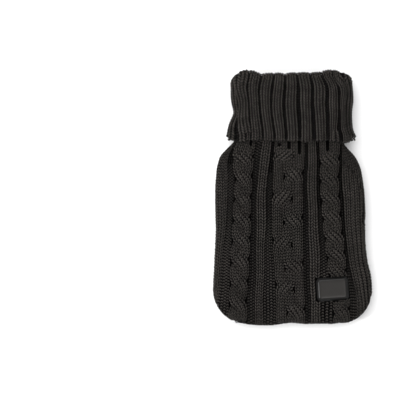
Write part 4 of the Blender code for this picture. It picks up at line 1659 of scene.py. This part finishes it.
class Ring(NamedTuple):
    """One ring of the patch: how far in from its edge and how high, and how dark it is painted, as shade."""

    inset: float
    borders: float  # further in, in widths of the border
    height: float
    thicknesses: float  # further up, in thicknesses of the patch
    tone: float


# From the sewn margin over the raised border to the sunk middle; the last column is painted shade, darkening
# the border outwards, and near-black on the margin, which is partly painted shadow
PATCH_RINGS = table(
    Ring,
    (-1.0, 0.0, 0.0, 0.0, 0.0), (-1.0, 0.0, 0.12, 0.0, 0.0), (-0.05, 0.0, 0.2, 0.0, 0.0),
    (0.0, 0.0, 0.0, 0.3, 0.12), (0.0, 0.12, 0.0, 0.5, 0.15), (0.0, 0.35, 0.0, 0.72, 0.25),
    (0.0, 0.75, 0.0, 0.97, 0.45), (0.0, 0.9, 0.0, 1.0, 0.6), (0.0, 1.0, 0.0, 0.96, 0.8),
    (0.0, 1.2, 0.0, 0.88, 1.0), (0.0, 2.0, 0.0, 0.87, 1.0), (7.6, 0.0, 0.0, 0.9, 1.0),
)


class COVER_OT_patch(Operator):
    """Make the small padded patch with its raised border and its dark sewn margin, with painted shade on the
    border and painted shadow on the margin
    """

    bl_idname = "cover.patch"
    bl_label = "Patch"

    def execute(self, context):
        look = context.scene.cover_patch
        top, border = look.thickness / MM, look.border / MM
        low = FRONT_BODY + CLOTH / 2 + PRESSED + PATCH_GAP
        cosine, sine = math.cos(PATCH_TURN), math.sin(PATCH_TURN)
        points, tones = [], []
        for step in PATCH_RINGS:
            inset, height = step.inset + step.borders * border, step.height + step.thicknesses * top
            corner_left = PATCH_CORNER - inset * CORNER_SHRINKS
            ring = rounded_ring(PATCH_WIDTH - 2 * inset, PATCH_LENGTH - 2 * inset, corner_left)
            tones += [step.tone] * len(ring)
            for x, y in ring:
                across, up = x * cosine - y * sine, x * sine + y * cosine
                points.append((PATCH_ACROSS + across, PATCH_UP + up, low + height))
        item = mesh_object("patch_pad", points, ring_faces(len(PATCH_RINGS), len(ring)))
        # The rings' darkness, painted shade, goes to the patch's material
        item.data.attributes.new("tone", "FLOAT", "POINT").data.foreach_set("value", tones)
        face_out(item)
        finish_piece(item, made("dark_satin", patch_material, look.colour), "patch")
        return {"FINISHED"}


class COVER_OT_declare(Operator):
    """A step that does nothing"""

    bl_idname = "cover.declare"
    bl_label = "Declare the cloth"

    def execute(self, context):
        return {"FINISHED"}


CAMERA_PLACE = (-0.0736, -0.002)  # the middle of the picture
PICTURE_WIDTH, PICTURE_LEVEL = 0.32, 0.014  # how wide the picture is, and how high up it is that wide
SENSOR_WIDTH = 36.0
FLOOR_REACH, FLOOR_DROP = 3000, 0.2
FLOOR_CORNERS = ((-1, -1), (1, -1), (1, 1), (-1, 1))


class Lamp(NamedTuple):
    """A soft square light that points at the cover; share is its part of the stage's light."""

    name: str
    place: tuple
    size: float
    share: float


LAMPS = table(
    Lamp,
    ("light_above", (-0.4, 0.9, 1.5), 1.8, 1.0),
    ("light_beside", (-1.1, -0.3, 0.8), 0.2, 0.4),
)


class COVER_OT_stage(Operator):
    """Set out the pale floor, the soft light and the camera straight above"""

    bl_idname = "cover.stage"
    bl_label = "Stage"

    def execute(self, context):
        look = context.scene.cover_stage
        scene = context.scene
        ends = [(x * FLOOR_REACH, y * FLOOR_REACH, -FLOOR_DROP) for x, y in FLOOR_CORNERS]
        floor = mesh_object("stage_floor", ends, [(0, 1, 2, 3)])
        floor.data.materials.append(made("pale_floor", floor_material, look.floor))
        for lamp in LAMPS:
            data = bpy.data.lights.new(lamp.name, "AREA")
            data.energy, data.size = look.light * lamp.share, lamp.size
            light = placed(lamp.name, data)
            light.location = lamp.place
            aim = -np.array(lamp.place) / np.linalg.norm(lamp.place)
            light.rotation_euler = (math.acos(-aim[2]), 0.0, math.atan2(aim[1], aim[0]) - math.pi / 2)
        world = bpy.data.worlds.new("studio")
        world.use_nodes = True
        sky = {"Color": (1.0, 1.0, 1.0, 1.0), "Strength": look.sky}
        feed(world.node_tree, world.node_tree.nodes["Background"], sky)
        scene.world = world
        scene.view_settings.view_transform = "Standard"
        data = bpy.data.cameras.new("camera")
        camera = placed("camera", data)
        camera.location = (*CAMERA_PLACE, look.height)
        data.sensor_width = SENSOR_WIDTH
        data.lens = data.sensor_width * (look.height - PICTURE_LEVEL) / PICTURE_WIDTH
        scene.camera = camera
        return {"FINISHED"}


class COVER_PT_panel(Panel):
    """The cover's sizes, colours and pieces"""

    bl_idname = "COVER_PT_panel"
    bl_label = "Bottle cover"
    bl_space_type = "VIEW_3D"
    bl_region_type = "UI"
    bl_category = "Cover"

    def draw(self, context):
        scene = context.scene
        for look in (scene.cover_knit, scene.cover_patch, scene.cover_stage):
            box = self.layout.box()
            for name in look.bl_rna.properties.keys():
                if name not in {"rna_type", "name"}:
                    box.prop(look, name)
        for step in STEPS:
            self.layout.operator(step.bl_idname)


LOOKS = {"cover_knit": KnitLook, "cover_patch": PatchLook, "cover_stage": StageLook}
STEPS = (
    COVER_OT_stage, COVER_OT_grounds, COVER_OT_front_body, COVER_OT_collar,
    COVER_OT_back_body, COVER_OT_edges, COVER_OT_patch, COVER_OT_declare,
)


def register():
    """Make the looks, the operators and the panel known."""
    for kind in (*LOOKS.values(), *STEPS, COVER_PT_panel):
        bpy.utils.register_class(kind)
    for name, kind in LOOKS.items():
        setattr(bpy.types.Scene, name, PointerProperty(type=kind))


def unregister():
    """Take them away again."""
    for name in LOOKS:
        delattr(bpy.types.Scene, name)
    for kind in (COVER_PT_panel, *reversed(STEPS), *LOOKS.values()):
        bpy.utils.unregister_class(kind)


def main():
    """Build every piece."""
    register()
    for step in STEPS:
        getattr(bpy.ops.cover, step.bl_idname.split(".")[1])()


if __name__ == "__main__":
    main()
